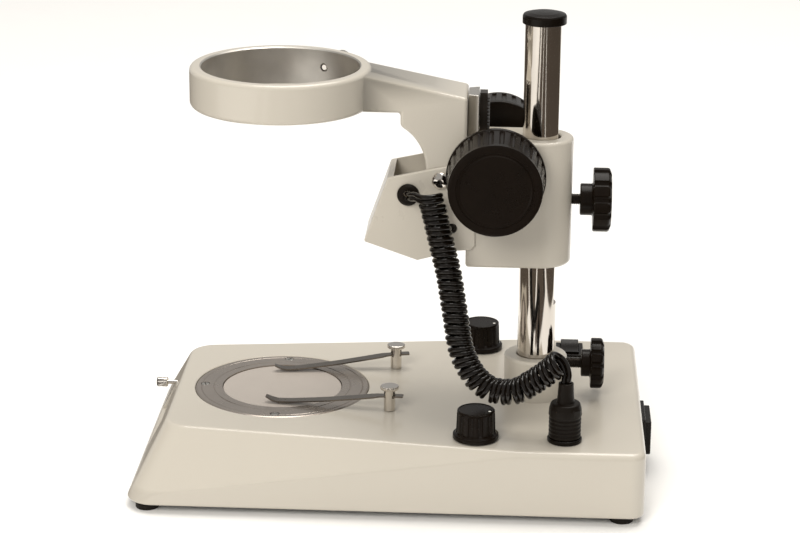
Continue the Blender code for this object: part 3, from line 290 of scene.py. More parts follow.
def make_floor():
    mesh = bpy.data.meshes.new("floor")
    half = 6.0  # metres
    corners = [(-half, -half, 0), (half, -half, 0), (half, half, 0), (-half, half, 0)]
    mesh.from_pydata(corners, [], [(0, 1, 2, 3)])
    floor = bpy.data.objects.new("floor", mesh)
    bpy.context.scene.collection.objects.link(floor)
    mesh.materials.append(surface("pale_floor", (0.90, 0.895, 0.885), (0.75, 0.9), mottle=(0.004, 3.0),
                                  grain=(0.0, 10.0), specular=0.1))


def area_light(name, place, aim, size, power, glossy=True):
    data = bpy.data.lights.new(name, "AREA")
    data.shape = "RECTANGLE"
    data.size, data.size_y = size
    data.energy = power
    data.color = (1.0, 0.97, 0.92)
    lamp = bpy.data.objects.new(name, data)
    bpy.context.scene.collection.objects.link(lamp)
    lamp.visible_glossy = glossy
    lamp.location = place
    lamp.rotation_euler = (Vector(aim) - Vector(place)).to_track_quat("-Z", "Y").to_euler()


# The cards' two colours
GREY, DARK = (0.075, 0.062, 0.052), (0.010, 0.008, 0.006)


def dark_card(name, low, high, colour):
    """A dark card that only reflections see, for the streaks in polished metal. It stands upright, or it
    lies flat when low and high have the same height."""
    mesh = bpy.data.meshes.new(name)
    flat = low[2] == high[2]
    second = (high[0], low[1], low[2]) if flat else (high[0], high[1], low[2])
    fourth = (low[0], high[1], high[2]) if flat else (low[0], low[1], high[2])
    corners = [low, second, high, fourth]
    mesh.from_pydata(corners, [], [(0, 1, 2, 3)])
    card = bpy.data.objects.new(name, mesh)
    bpy.context.scene.collection.objects.link(card)
    mesh.materials.append(surface(name, colour, (0.9, 1.0), grain=(0.0, 10.0), specular=0.0))
    card.visible_camera = False
    card.visible_diffuse = False
    card.visible_shadow = False
    card.visible_transmission = False


def make_light():
    scene = bpy.context.scene
    scene.view_settings.view_transform = "Standard"
    scene.view_settings.look = "None"
    world = bpy.data.worlds.new("studio")
    scene.world = world
    world.use_nodes = True
    world.node_tree.nodes["Background"].inputs["Color"].default_value = (1.0, 0.985, 0.96, 1.0)
    world.node_tree.nodes["Background"].inputs["Strength"].default_value = 0.42
    area_light("key", (1.75, -0.62, 1.30), (0, 0, 0.08), (0.9, 0.9), 28.5, glossy=False)
    area_light("top", (-0.45, 0.2, 2.2), (0, 0, 0.1), (1.7, 1.7), 46.0)
    dark_card("card_middle", (0.20, -0.22, 0.002), (1.6, 0.02, 0.002), GREY)
    dark_card("card_pole", (0.20, 0.05, 0.002), (1.6, 0.27, 0.002), GREY)
    dark_card("card_streak", (0.20, 0.27, 0.002), (1.6, 0.31, 0.002), DARK)
    dark_card("card_right", (-0.5, 0.345, 0.002), (1.6, 1.6, 0.002), GREY)
    dark_card("card_left", (0.25, -0.42, 0.002), (1.6, -0.30, 0.002), GREY)
    dark_card("card_slope", (-1.2, -1.5, 0.002), (0.18, -0.142, 0.002), GREY)
    dark_card("card_wall", (1.7, 1.3, 0.0), (-0.6, 1.7, 1.1), DARK)
    dark_card("card_front", (0.9, -1.6, 0.0), (-0.9, -1.6, 1.1), GREY)


make_floor()
make_light()


# ---- shape helpers

def place(name, mesh, look, at=(0, 0, 0), turn=(0, 0, 0)):
    obj = bpy.data.objects.new(name, mesh)
    bpy.context.scene.collection.objects.link(obj)
    obj.location = Vector(at) * MM
    obj.rotation_euler = turn
    if look:
        mesh.materials.append(look)
    return obj


def mesh_from(bm, name, smooth_angle=32):
    bmesh.ops.remove_doubles(bm, verts=bm.verts, dist=1e-7)
    bmesh.ops.recalc_face_normals(bm, faces=bm.faces)
    mesh = bpy.data.meshes.new(name)
    bm.to_mesh(mesh)
    bm.free()
    mesh.shade_smooth()
    mesh.set_sharp_from_angle(angle=math.radians(smooth_angle))
    return mesh


def joined(bm, loops, closed=False):
    """Skins loops of equally many vertices, one after the other, and caps or closes the ends."""
    pairs = list(zip(loops, loops[1:]))
    if closed:
        pairs.append((loops[-1], loops[0]))
    else:
        bm.faces.new(loops[0])
        bm.faces.new(loops[-1])
    for first, second in pairs:
        for k in range(len(first)):
            n = (k + 1) % len(first)
            bm.faces.new((first[k], first[n], second[n], second[k]))


def rounded(profile, steps):
    """(radius, height, flute) points from (radius, height, fillet, flute) ones."""
    full = [(*point, 0.0, 0.0)[:4] if len(point) == 2 else (*point, 0.0)[:4] for point in profile]
    found = []
    for k, (r, z, fillet, flute) in enumerate(full):
        if not fillet or k in (0, len(full) - 1):
            found.append((r, z, flute))
            continue
        corner = Vector((r, z))
        before = Vector(full[k - 1][:2]) - corner
        after = Vector(full[k + 1][:2]) - corner
        half = before.angle(after) / 2
        reach = min(fillet / math.tan(half), 0.49 * min(before.length, after.length))
        radius = reach * math.tan(half)
        centre = corner + (before.normalized() + after.normalized()).normalized() * radius / math.sin(half)
        first = corner + before.normalized() * reach - centre
        last = corner + after.normalized() * reach - centre
        start = math.atan2(first.y, first.x)
        sweep = (math.atan2(last.y, last.x) - start + math.pi) % (2 * math.pi) - math.pi
        for step in range(steps + 1):
            angle = start + sweep * step / steps
            found.append((centre.x + radius * math.cos(angle), centre.y + radius * math.sin(angle), flute))
    return found


def turned(name, profile, look, at=(0, 0, 0), turn=(0, 0, 0), segments=96, hole=False, pattern=None, steps=4):
    """A solid of revolution about its own Z. The profile's points are (radius, height), and may add a
    fillet radius and a share of the pattern that is cut into the radius there."""
    bm = bmesh.new()
    loops = []
    for r, z, flute in rounded(profile, steps):
        loop = []
        for k in range(segments):
            angle = 2 * math.pi * k / segments
            radius = (r - (flute * pattern(angle, z) if flute else 0.0)) * MM
            loop.append(bm.verts.new((radius * math.cos(angle), radius * math.sin(angle), z * MM)))
        loops.append(loop)
    joined(bm, loops, hole)
    return place(name, mesh_from(bm, name), look, at, turn)


def prism(name, outline, low, high, look, axis="Z", bevel=0.0, steps=4):
    """An outline extruded from low to high: (x, y) along Z or (y, z) along X. Its edges are rounded by
    bevel."""
    bm = bmesh.new()
    if axis == "Z":
        floor = [bm.verts.new(Vector((a, b, low)) * MM) for a, b in outline]
        step = Vector((0, 0, high - low)) * MM
    else:
        floor = [bm.verts.new(Vector((low, a, b)) * MM) for a, b in outline]
        step = Vector((high - low, 0, 0)) * MM
    grown = bmesh.ops.extrude_face_region(bm, geom=[bm.faces.new(floor)])
    moved = [item for item in grown["geom"] if isinstance(item, bmesh.types.BMVert)]
    bmesh.ops.translate(bm, verts=moved, vec=step)
    obj = place(name, mesh_from(bm, name), look)
    if bevel:
        soften(obj, bevel, steps)
    return obj


def box(name, low, high, look=None, bevel=0.0, at=(0, 0, 0), turn=(0, 0, 0)):
    outline = [(low[0], low[1]), (high[0], low[1]), (high[0], high[1]), (low[0], high[1])]
    obj = prism(name, outline, low[2], high[2], look, "Z", bevel, 3)
    obj.location = Vector(at) * MM
    obj.rotation_euler = turn
    return obj


def settle(obj):
    """Makes the modifiers' result the object's own mesh."""
    bpy.context.view_layer.update()
    evaluated = obj.evaluated_get(bpy.context.evaluated_depsgraph_get())
    mesh = bpy.data.meshes.new_from_object(evaluated)
    obj.modifiers.clear()
    obj.data = mesh


def soften(obj, width, steps=4, angle=40):
    """Rounds the object's edges that turn by more than angle."""
    bevel = obj.modifiers.new("Bevel", "BEVEL")
    bevel.width = width * MM
    bevel.segments = steps
    bevel.limit_method = "ANGLE"
    bevel.angle_limit = math.radians(angle)
    settle(obj)


def combine(obj, tool, operation="DIFFERENCE"):
    boolean = obj.modifiers.new("Boolean", "BOOLEAN")
    boolean.operation = operation
    boolean.solver = "EXACT"
    boolean.material_mode = "TRANSFER"
    boolean.object = tool
    settle(obj)
    bpy.data.objects.remove(tool, do_unlink=True)


def drill(obj, profile, at, turn=(0, 0, 0), look=None, segments=48):
    combine(obj, turned("drill", profile, look, at, turn, segments))


def shown(obj, node):
    """The piece stands for its CAD node, with the same body."""
    mesh = obj.data
    mesh.shade_smooth()
    mesh.set_sharp_from_angle(angle=math.radians(32))
    weighted = obj.modifiers.new("weighted_normals", "WEIGHTED_NORMAL")
    weighted.keep_sharp = True
    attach(obj, BODY_OF[node])
    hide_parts(node)
    return obj


def flutes(count, depth, power=0.6):
    """Rounded hollows cut into a radius."""
    def cut(angle, height):
        return depth * max(0.0, -math.cos(count * angle)) ** power
    return cut


def thread(pitch, depth):
    """A screw's V grooves."""
    def cut(angle, height):
        return depth * abs(2 * ((height / pitch - angle / (2 * math.pi)) % 1.0) - 1)
    return cut


def threaded(radius, low, high, pitch=1.0, depth=0.55):
    """Profile points of a thread between two heights."""
    count = max(2, round((high - low) / pitch * 8))
    return [(radius, low + (high - low) * k / count, 0, 1.0) for k in range(count + 1)]


def smooth_through(points, steps):
    """Points of a smooth curve that passes through the given ones."""
    first = [2 * a - b for a, b in zip(points[0], points[1])]
    last = [2 * a - b for a, b in zip(points[-1], points[-2])]
    padded = [first, *points, last]
    found = []
    for k in range(len(points) - 1):
        p0, p1, p2, p3 = (Vector(p) for p in padded[k:k + 4])
        for step in range(steps):
            t = step / steps
            found.append(0.5 * (2 * p1 + (p2 - p0) * t + (2 * p0 - 5 * p1 + 4 * p2 - p3) * t ** 2
                                + (3 * p1 - p0 - 3 * p2 + p3) * t ** 3))
    found.append(Vector(points[-1]))
    return found


# ---- curly cord

COIL_RADIUS = 7.0
STRAND = 2.8  # the cord is two strands side by side
TWIN = 1.28  # from the cord's middle to each strand's
STRAND_SIDES = 12
PER_TURN = 24
COIL_PITCH = 5.9

# The grommet's end, the line that the coil's axis follows, and the plug's end
LAMP_TAIL = [(22.2, 5.6, 157.0), (25.6, 6.8, 157.7), (29.8, 9.6, 158.9)]
COIL_LINE = [
    (31.9, 17.4, 160.2), (32.8, 19.8, 152.0), (34.0, 21.6, 145.1), (37.0, 25.0, 132.4),
    (41.0, 28.4, 120.0), (45.0, 30.8, 107.6), (48.5, 32.7, 97.8), (53.0, 35.1, 85.6),
    (56.5, 38.5, 77.5), (60.0, 43.9, 70.2), (63.0, 50.9, 65.6), (65.0, 58.2, 64.6),
    (67.0, 65.5, 66.2), (68.0, 73.1, 71.1), (69.0, 80.0, 76.6), (69.3, 83.8, 80.2), (69.4, 87.0, 83.4),
]
PLUG_TAIL = [(65.6, 89.6, 80.4), (68.4, 91.0, 76.6), (69.5, 90.8, 73.2), (69.5, 90.8, 70.0)]
START_PHASE = 0.625  # of a turn, where the first tail meets the coil


def length_of(line):
    return sum((b - a).length for a, b in zip(line, line[1:]))


def even_steps(points, step):
    """Points a step apart along a line of points."""
    found = [points[0]]
    left = step
    for a, b in zip(points, points[1:]):
        length = (b - a).length
        gone = 0.0
        while length - gone >= left:
            gone += left
            found.append(a.lerp(b, gone / length))
            left = step
        left -= length - gone
    return found


def carried_frames(points):
    """At each point of a line, its direction and two directions across it that don't twist."""
    found = []
    across = Vector((0, 0, 1)).cross(points[1] - points[0]).normalized()
    for k in range(len(points)):
        along = (points[min(k + 1, len(points) - 1)] - points[max(k - 1, 0)]).normalized()
        across = (across - along * across.dot(along)).normalized()
        found.append((points[k], across, along.cross(across)))
    return found


def cord_line():
    """The cord's own line, and the direction along the coil at each of its points."""
    axis = smooth_through(COIL_LINE, 24)
    length = length_of(axis)
    turns = round(length / COIL_PITCH - START_PHASE) + START_PHASE
    wound = COIL_RADIUS - STRAND / 2
    coil, alongs = [], []
    for k, (point, across, upward) in enumerate(carried_frames(even_steps(axis, length / turns / PER_TURN))):
        turn = 2 * math.pi * (START_PHASE - k / PER_TURN)
        coil.append(point + wound * (math.cos(turn) * across + math.sin(turn) * upward))
        alongs.append(across.cross(upward).normalized())
    steps = 8
    first = smooth_through([*LAMP_TAIL, coil[0], coil[3]], steps)[:-steps - 1]
    last = smooth_through([coil[-4], coil[-1], *PLUG_TAIL], steps)[steps + 1:]
    line = first + coil + last
    return line, [alongs[0]] * len(first) + alongs + [alongs[-1]] * len(last)


def twin_tube(name, line, alongs, look):
    """Two round strands side by side, which lie one after the other along the coil."""
    bm = bmesh.new()
    for side in (-1, 1):
        loops = []
        for k, middle in enumerate(line):
            run = (line[min(k + 1, len(line) - 1)] - line[max(k - 1, 0)]).normalized()
            beside = alongs[k] - run * alongs[k].dot(run)
            beside = beside.normalized() if beside.length > 0.25 else run.orthogonal().normalized()
            if k and beside.dot(last_beside) < 0:
                beside = -beside
            if k:
                beside = (beside * 0.35 + last_beside * 0.65)
                beside = (beside - run * beside.dot(run)).normalized()
            last_beside = beside
            out = run.cross(beside)
            centre = middle + beside * side * TWIN
            loop = []
            for n in range(STRAND_SIDES):
                turn = 2 * math.pi * n / STRAND_SIDES
                edge = math.cos(turn) * beside + math.sin(turn) * out
                loop.append(bm.verts.new((centre + edge * STRAND / 2) * MM))
            loops.append(loop)
        joined(bm, loops)
    return place(name, mesh_from(bm, name), look)


def make_cord(plug):
    """One cord in three tubes, which share their end rings."""
    line, alongs = cord_line()

    def nearest(point):
        return min(range(len(line)), key=lambda k: (line[k] - Vector(point)).length)

    grommet = LAMP_TAIL[0]
    upper = nearest(COIL_LINE[1])
    middle = nearest(COIL_LINE[4])
    spans = [
        ("cord_upper", 0, upper, ("carriage", "lamp"), (COIL_LINE[1], grommet), grommet, "object"),
        ("cord_middle", upper, middle, ("head", "carriage"), (COIL_LINE[4], COIL_LINE[1]), COIL_LINE[1],
         "object"),
        ("cord_lower", middle, len(line) - 1, ("base", "head"), (COIL_LINE[10], COIL_LINE[4]), COIL_LINE[4],
         "plug"),
    ]
    stands_for = {"cord_upper": ["cord_lamp_tail"], "cord_lower": ["cord_plug_tail", "cord_coil"]}
    for name, first, last, bodies, ends, exit_point, far_end in spans:
        part = line[first:last + 1]
        cord = twin_tube(name, part, alongs[first:last + 1], CORD_PVC)
        cord.data.transform(cord.matrix_world)
        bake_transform(cord)
        if name in stands_for:
            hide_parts(*stands_for[name])


# ---- socket and plug

def make_socket_and_plug():
    z = BASE_TOP
    spot = (PLUG.x, PLUG.y, 0)
    bore = 5.4
    socket = turned("socket", [
        (6.0, z - 9.0), (6.0, z + GAP), (9.1, z + GAP, 0.2), (9.1, z + 1.9, 0.5), (8.5, z + 2.4, 0.3),
        (bore, z + 2.4, 0.3), (bore, z - 7.0),
    ], PHENOLIC, spot)
    shown(socket, "cord_socket")
    base, top, boot_top, body = z + 2.7, z + 21.4, z + 32.2, 8.45
    hole = STRAND / 2 + TWIN + 0.2
    profile = [(5.0, z - 6.6), (5.0, base), (body, base, 0.6), (body, base + 1.4, 0.2)]
    for rib in range(5):
        low = base + 1.9 + rib * 2.15
        profile += [(body - 0.55, low, 0.15), (body - 0.55, low + 0.7, 0.15), (body, low + 1.0, 0.25),
                    (body, low + 1.75, 0.25)]
    profile += [(body, top - 3.0, 0.3), (7.6, top, 1.3), (4.7, top + 0.1, 0.3), (4.3, top + 3.6, 0.3),
                (3.9, boot_top, 0.6), (hole, boot_top, 0.3), (hole, boot_top - 3.0)]
    plug = turned("plug", profile, RUBBER, spot, segments=96)
    for k in range(4):
        angle = math.radians(45 + 90 * k)
        out = Vector((math.cos(angle), math.sin(angle), 0))
        grip = box("grip", (-0.9, -2.6, top - 6.2), (0.9, 2.6, top - 2.4), RUBBER, 0.5,
                   Vector(spot) + out * 7.6, (0, 0, angle))
        combine(plug, grip, "UNION")
    return shown(plug, "cord_plug")


make_cord(make_socket_and_plug())


# ---- base casting

HALF_WIDTH = high_of("base_casting").x
BASE_FRONT = low_of("base_casting").y
BASE_REAR = high_of("base_casting").y
SLOPE = 17.0 / 35.9  # how far the front leans back for each unit of height
TOP_HALF_WIDTH = 66.0  # of the front edge of the top
FACET_FOOT = 7.3  # height of the facets' lower edge at the front
FACET_END = 66.5  # where the facets run out towards the rear
FRONT_CORNER, REAR_CORNER = 15.0, 8.0
TOP_FILLET = 3.5
WALL, TOP_WALL = 4.0, 5.0
CLAMP_LOW = joint_place("lower_clamp_turn").z
CLAMP_HIGH = joint_place("upper_clamp_turn").z
POLE_RADIUS = 10.04
BOSS_RADIUS, BOSS_TOP, BOSS_FOOT = 17.0, 63.2, 22.2
STAGE_RADIUS, STAGE_BORE = 47.5, 32.9
SWITCH = centre_of("switch_frame")
DIALS = {side: centre_of(f"dial_{side}") for side in ("near", "far")}
CLIPS = {side: joint_place(f"clip_{side}_swing") for side in ("near", "far")}
ROD = centre_of("slider_rod")
INLET = centre_of("mains_inlet")


def front_y(z):
    return BASE_FRONT + (z - FOOT) * SLOPE


def corner_points(x, y, z, radius, fillet=0.0, steps=12):
    """Points of a corner that is round in plan, and rounded over to the top when it has a fillet."""
    side = 1 if x > 0 else -1
    along = 1 if y > 0 else -1
    centre = Vector((x - side * radius, y - along * radius, z - fillet))
    rises = [math.pi / 2 * k / 6 for k in range(7)] if fillet else [0.0]
    points = []
    for step in range(steps + 1):
        turn = math.pi / 2 * step / steps
        out = Vector((side * math.cos(turn), along * math.sin(turn), 0))
        for rise in rises:
            reach = radius - fillet + fillet * math.cos(rise)
            points.append(centre + out * reach + Vector((0, 0, fillet * math.sin(rise))))
    return points


def outer_points():
    knee = FOOT + FACET_FOOT
    points = []
    for side in (-1, 1):
        wide = side * HALF_WIDTH
        points += corner_points(wide, BASE_FRONT, FOOT, FRONT_CORNER)
        points += corner_points(wide, front_y(knee), knee, FRONT_CORNER)
        points += corner_points(wide, BASE_REAR, FOOT, REAR_CORNER)
        points += corner_points(wide, BASE_REAR, BASE_TOP, REAR_CORNER, TOP_FILLET)
        points += corner_points(side * TOP_HALF_WIDTH, front_y(BASE_TOP), BASE_TOP, FRONT_CORNER, TOP_FILLET)
        for k in range(7):
            rise = math.pi / 2 * k / 6
            x = wide - side * TOP_FILLET * (1 - math.cos(rise))
            points.append(Vector((x, FACET_END, BASE_TOP - TOP_FILLET * (1 - math.sin(rise)))))
    return points


def inner_points(low, high):
    knee = FOOT + FACET_FOOT
    points = []
    for side in (-1, 1):
        wide = side * (HALF_WIDTH - WALL)
        for z in (low, knee):
            points += corner_points(wide, front_y(z) + WALL, z, FRONT_CORNER - WALL, steps=6)
        share = (high - knee) / (BASE_TOP - knee)
        narrow = HALF_WIDTH - share * (HALF_WIDTH - TOP_HALF_WIDTH) - WALL
        points += corner_points(side * narrow, front_y(high) + WALL, high, FRONT_CORNER - WALL, steps=6)
        points.append(Vector((wide, FACET_END, high)))
        for z in (low, high):
            points += corner_points(wide, BASE_REAR - WALL, z, REAR_CORNER - WALL, steps=6)
    return points


def hull(name, points, look):
    bm = bmesh.new()
    for point in points:
        bm.verts.new(point * MM)
    made = bmesh.ops.convex_hull(bm, input=bm.verts)
    loose = {item for key in ("geom_interior", "geom_unused") for item in made[key]}
    bmesh.ops.delete(bm, geom=[v for v in loose if isinstance(v, bmesh.types.BMVert)], context="VERTS")
    bmesh.ops.dissolve_limit(bm, angle_limit=math.radians(0.4), verts=bm.verts, edges=bm.edges)
    return place(name, mesh_from(bm, name), look)


def make_base():
    casting = hull("casting", outer_points(), ENAMEL)
    soften(casting, 1.6, 4, 18)
    combine(casting, hull("hollow", inner_points(0.0, BASE_TOP - TOP_WALL), None))
    boss = [(BOSS_RADIUS + 0.01, BOSS_FOOT), (BOSS_RADIUS, BASE_TOP - 1), (BOSS_RADIUS, BOSS_TOP, 1.6),
            (POLE_RADIUS, BOSS_TOP)]
    combine(casting, turned("boss", boss, ENAMEL, (0, POLE.y, 0)), "UNION")
    hole = POLE_RADIUS + GAP
    drill(casting,
          [(hole, BOSS_FOOT + 3), (hole, BOSS_TOP - 0.5), (hole + 0.5, BOSS_TOP), (hole + 0.5, BOSS_TOP + 5)],
          (0, POLE.y, 0), segments=64)
    drill(casting, [(3.3, -7), (3.3, 7)], (0, POLE.y + BOSS_RADIUS, CLAMP_LOW), ALONG_Y)
    seat = STAGE_RADIUS + 0.4
    drill(casting,
          [(seat, BASE_TOP - 2.7), (seat, BASE_TOP - 0.4), (seat + 0.4, BASE_TOP),
           (seat + 0.4, BASE_TOP + 5)],
          (0, STAGE.y, 0), segments=96)
    drill(casting, [(36.6, -10), (36.6, 10)], (0, STAGE.y, BASE_TOP), segments=96)
    combine(casting, box("window", (-27.0, BASE_FRONT - 5, FOOT + 10), (27.0, BASE_FRONT + 25, FOOT + 24)))
    drill(casting, [(1.6, -20), (1.6, 20)], (ROD.x, BASE_FRONT + 10, ROD.z), ALONG_Y, segments=24)
    combine(casting,
            box("inlet_hole", (-13.6, BASE_REAR - 10, FOOT + 6), (13.6, BASE_REAR + 10, FOOT + 25.6)))
    combine(casting, box("switch_hole", (SWITCH.x - 9.4, SWITCH.y - 6.6, BASE_TOP - 10),
                         (SWITCH.x + 9.4, SWITCH.y + 6.6, BASE_TOP + 10)))
    for side in ("near", "far"):
        drill(casting, [(3.8, -10), (3.8, 10)], (DIALS[side].x, DIALS[side].y, BASE_TOP))
        drill(casting, [(2.3, -10), (2.3, 10)], (CLIPS[side].x, CLIPS[side].y, BASE_TOP))
    drill(casting, [(6.3, -10), (6.3, 10)], (PLUG.x, PLUG.y, BASE_TOP))
    shown(casting, "base_casting")


def make_feet():
    for number in range(1, 5):
        middle = centre_of(f"foot_{number}")
        profile = [(5.2, 0.0), (6.2, 0.0, 0.9), (6.2, 3.0, 0.8), (5.4, FOOT - GAP, 0.2), (3.0, FOOT - GAP)]
        foot = turned(f"rubber_foot_{number}", profile, RUBBER, (middle.x, middle.y, 0), segments=64)
        drill(foot, [(2.2, -1), (2.2, 1.4)], (middle.x, middle.y, 0), look=RUBBER)
        shown(foot, f"foot_{number}")


make_base()
make_feet()


# ---- stage and clips

def make_stage():
    top = BASE_TOP
    bore, radius, sleeve = STAGE_BORE, STAGE_RADIUS, 36.0
    glass_top = top - 0.5
    ledge = top - 1.7 - 3.0 - GAP
    groove = radius - 3.2
    profile = [
        (bore, top, 0.45), (bore, ledge), (bore - 2.4, ledge), (bore - 2.4, ledge - 1.8),
        (sleeve, ledge - 1.8),
        (sleeve, top - 2.4), (radius, top - 2.4), (radius, top - 0.5, 0.2), (radius - 0.9, top, 0.4),
        (groove + 0.35, top), (groove, top - 0.3), (groove - 0.35, top), (bore + 5.0, top),
        (bore + 4.8, top - 0.25), (bore + 4.5, top - 0.25), (bore + 4.3, top),
    ]
    ring = turned("stage_plate", profile, STAGE_METAL, (0, STAGE.y, 0), segments=192, hole=True)
    glass = [(0.5, glass_top - 3.0), (bore - GAP, glass_top - 3.0, 0.4), (bore - GAP, glass_top, 0.4),
             (0.5, glass_top)]
    disc = turned("ground_disc", glass, FROST, (0, STAGE.y, 0), segments=192)
    shown(disc, "stage_glass")
    for number in (1, 2, 3):
        middle = centre_of(f"stage_screw_{number}")
        spot = (middle.x, middle.y, 0)
        drill(ring, [(1.3, top - 5), (1.3, top - 2.3), (2.55, top - 1.1), (2.55, top + 1)], spot,
              look=STAGE_METAL)
        head = turned(f"countersunk_{number}",
                      [(1.0, top - 2.0), (2.25, top - 0.9, 0.1), (2.25, top - 0.12, 0.15), (1.5, top - 0.1)],
                      STEEL, spot, segments=48)
        turn = math.radians(35 + 70 * number)
        combine(head, box("slot", (-0.28, -3, top - 0.75), (0.28, 3, top + 1), at=spot, turn=(0, 0, turn)))
        shown(head, f"stage_screw_{number}")
    shown(ring, "stage_ring")


def make_clip(side, sign):
    spot = CLIPS[side]
    where = (spot.x, spot.y, 0)
    turn = sign * math.radians(7.5)
    z = BASE_TOP
    knurl = flutes(30, 0.22)
    post = turned(f"clip_post_{side}", [
        (2.0, z - 8), (2.0, z + GAP), (3.1, z + GAP, 0.2), (3.1, z + 11.6, 0.2), (4.2, z + 12.0),
        (4.9, z + 12.3, 0.15, 1.0), (4.9, z + 13.9, 0.25, 1.0), (4.2, z + 14.1, 0.2), (2.0, z + 14.1),
    ], CHROME, where, (0, 0, -turn), 180, pattern=knurl)
    rise = z + 8.3
    combine(post, box("slot", (-2.55, -6, rise - 0.8), (2.55, 6, rise + 0.8), at=where, turn=(0, 0, -turn)))
    shown(post, f"clip_{side}_post")
    # Along the strip, its rise above the base and half its width
    stations = [
        (7.4, 8.5, 1.4), (6.6, 8.5, 2.1), (0, 8.3, 2.1), (-5, 7.9, 2.2), (-9, 7.3, 3.0), (-20, 5.6, 3.0),
        (-36, 3.3, 2.9), (-52, 1.5, 2.8), (-59, 1.0, 2.7), (-62, 1.0, 2.6), (-65, 1.7, 2.4), (-68, 3.0, 1.6),
    ]
    bm = bmesh.new()
    loops = []
    for point in smooth_through([Vector(s) for s in stations], 6):
        along, up, wide = point
        corners = ((-wide, -0.4), (wide, -0.4), (wide, 0.4), (-wide, 0.4))
        loops.append([bm.verts.new(Vector((u, along, z + up + v)) * MM) for u, v in corners])
    joined(bm, loops)
    strip = place(f"clip_spring_{side}", mesh_from(bm, "spring"), SPRING_STEEL, where, (0, 0, -turn))
    soften(strip, 0.15, 2, 60)
    shown(strip, f"clip_{side}_strip")


make_stage()
make_clip("near", 1)
make_clip("far", -1)


# ---- pole and clamp screws

def make_pole():
    top = high_of("pole").z
    flat_start = FOOT + 88.5
    flat = POLE_RADIUS - 1.25

    def cut(angle, height):
        away = math.sin(angle)
        return POLE_RADIUS - flat / away if away > flat / POLE_RADIUS else 0.0

    profile = [
        (POLE_RADIUS - 0.6, BOSS_FOOT + 3.3), (POLE_RADIUS, BOSS_FOOT + 4), (POLE_RADIUS, flat_start),
        (POLE_RADIUS, flat_start + 0.01, 0, 1.0), (POLE_RADIUS, top - 0.8, 0, 1.0),
        (POLE_RADIUS - 0.8, top, 0, 1.0),
    ]
    pole = turned("column", profile, POLE_CHROME, (0, POLE.y, 0), segments=240, pattern=cut)
    shown(pole, "pole")
    high, low, inside, outside = top + 2.8, top - 3.4, POLE_RADIUS + GAP, 11.6
    cap = turned("column_cap", [
        (inside, top + GAP), (inside, low), (outside, low, 0.4), (outside, high - 2.2, 1.0),
        (11.0, high - 1.2, 0.6), (7.5, high - 0.35, 3.0), (3.0, high, 2.0), (0.5, high),
    ], PHENOLIC, (0, POLE.y, 0), segments=128, steps=6)
    shown(cap, "pole_cap")


def make_clamp(name, z, face, hub_radius, hub_start, head_radius, head_start, head_end):
    here = (0, POLE.y, z)
    end = hub_start + 6
    screw = turned(f"{name}_stud", [(1.6, face), (2.4, face + 0.7), *threaded(3.0, face + 0.8, end)],
                   DARK_STEEL, here, ALONG_Y, 64, pattern=thread(1.0, 0.5))
    shown(screw, f"{name}_screw")
    cut = flutes(12, 1.6, 0.55)
    bore = 3.0 + GAP
    head = turned(f"{name}_handle", [
        (bore, end + GAP), (bore, hub_start), (hub_radius, hub_start, 0.7),
        (hub_radius, head_start - 0.6, 0.5),
        (hub_radius + 1.2, head_start, 0.5), (head_radius, head_start, 0.7, 1.0),
        (head_radius, head_end - 1.2, 1.6, 1.0),
        (head_radius - 3.0, head_end, 2.2, 0.3), (head_radius * 0.45, head_end, 0.6),
        (head_radius * 0.42, head_end - 0.5, 0.4), (0.5, head_end - 0.5),
    ], KNOB_PLASTIC, here, ALONG_Y, 240, pattern=cut, steps=5)
    shown(head, f"{name}_knob")


make_pole()
make_clamp("lower_clamp", CLAMP_LOW, POLE_RADIUS + GAP, 7.4, 24.8, 13.7, 30.0, 37.2)
make_clamp("upper_clamp", CLAMP_HIGH, POLE_RADIUS + GAP - 1.25, 8.5, 21.4, 17.2, 28.3, 38.0)


# ---- focus block, pinion and knobs

BLOCK_HALF = high_of("focus_block").x
BLOCK_FRONT = low_of("focus_block").y
BLOCK_LOW, BLOCK_HIGH = low_of("focus_block").z, high_of("focus_block").z
CHANNEL = 5.6  # depth of the dovetail channel
PITCH_RADIUS, MODULE = 4.8, 0.6
KNOB_FLUTES, DIAL_FLUTES = 28, 12
RACK_Y = PINION.y - PITCH_RADIUS


def dovetail(clearance=0.0, overrun=0.0):
    front_x, back_x = 8.2 + clearance, 10.4 + clearance
    front, back = BLOCK_FRONT - overrun, BLOCK_FRONT + CHANNEL + clearance
    return [(front_x, front), (back_x, back), (-back_x, back), (-front_x, front)]


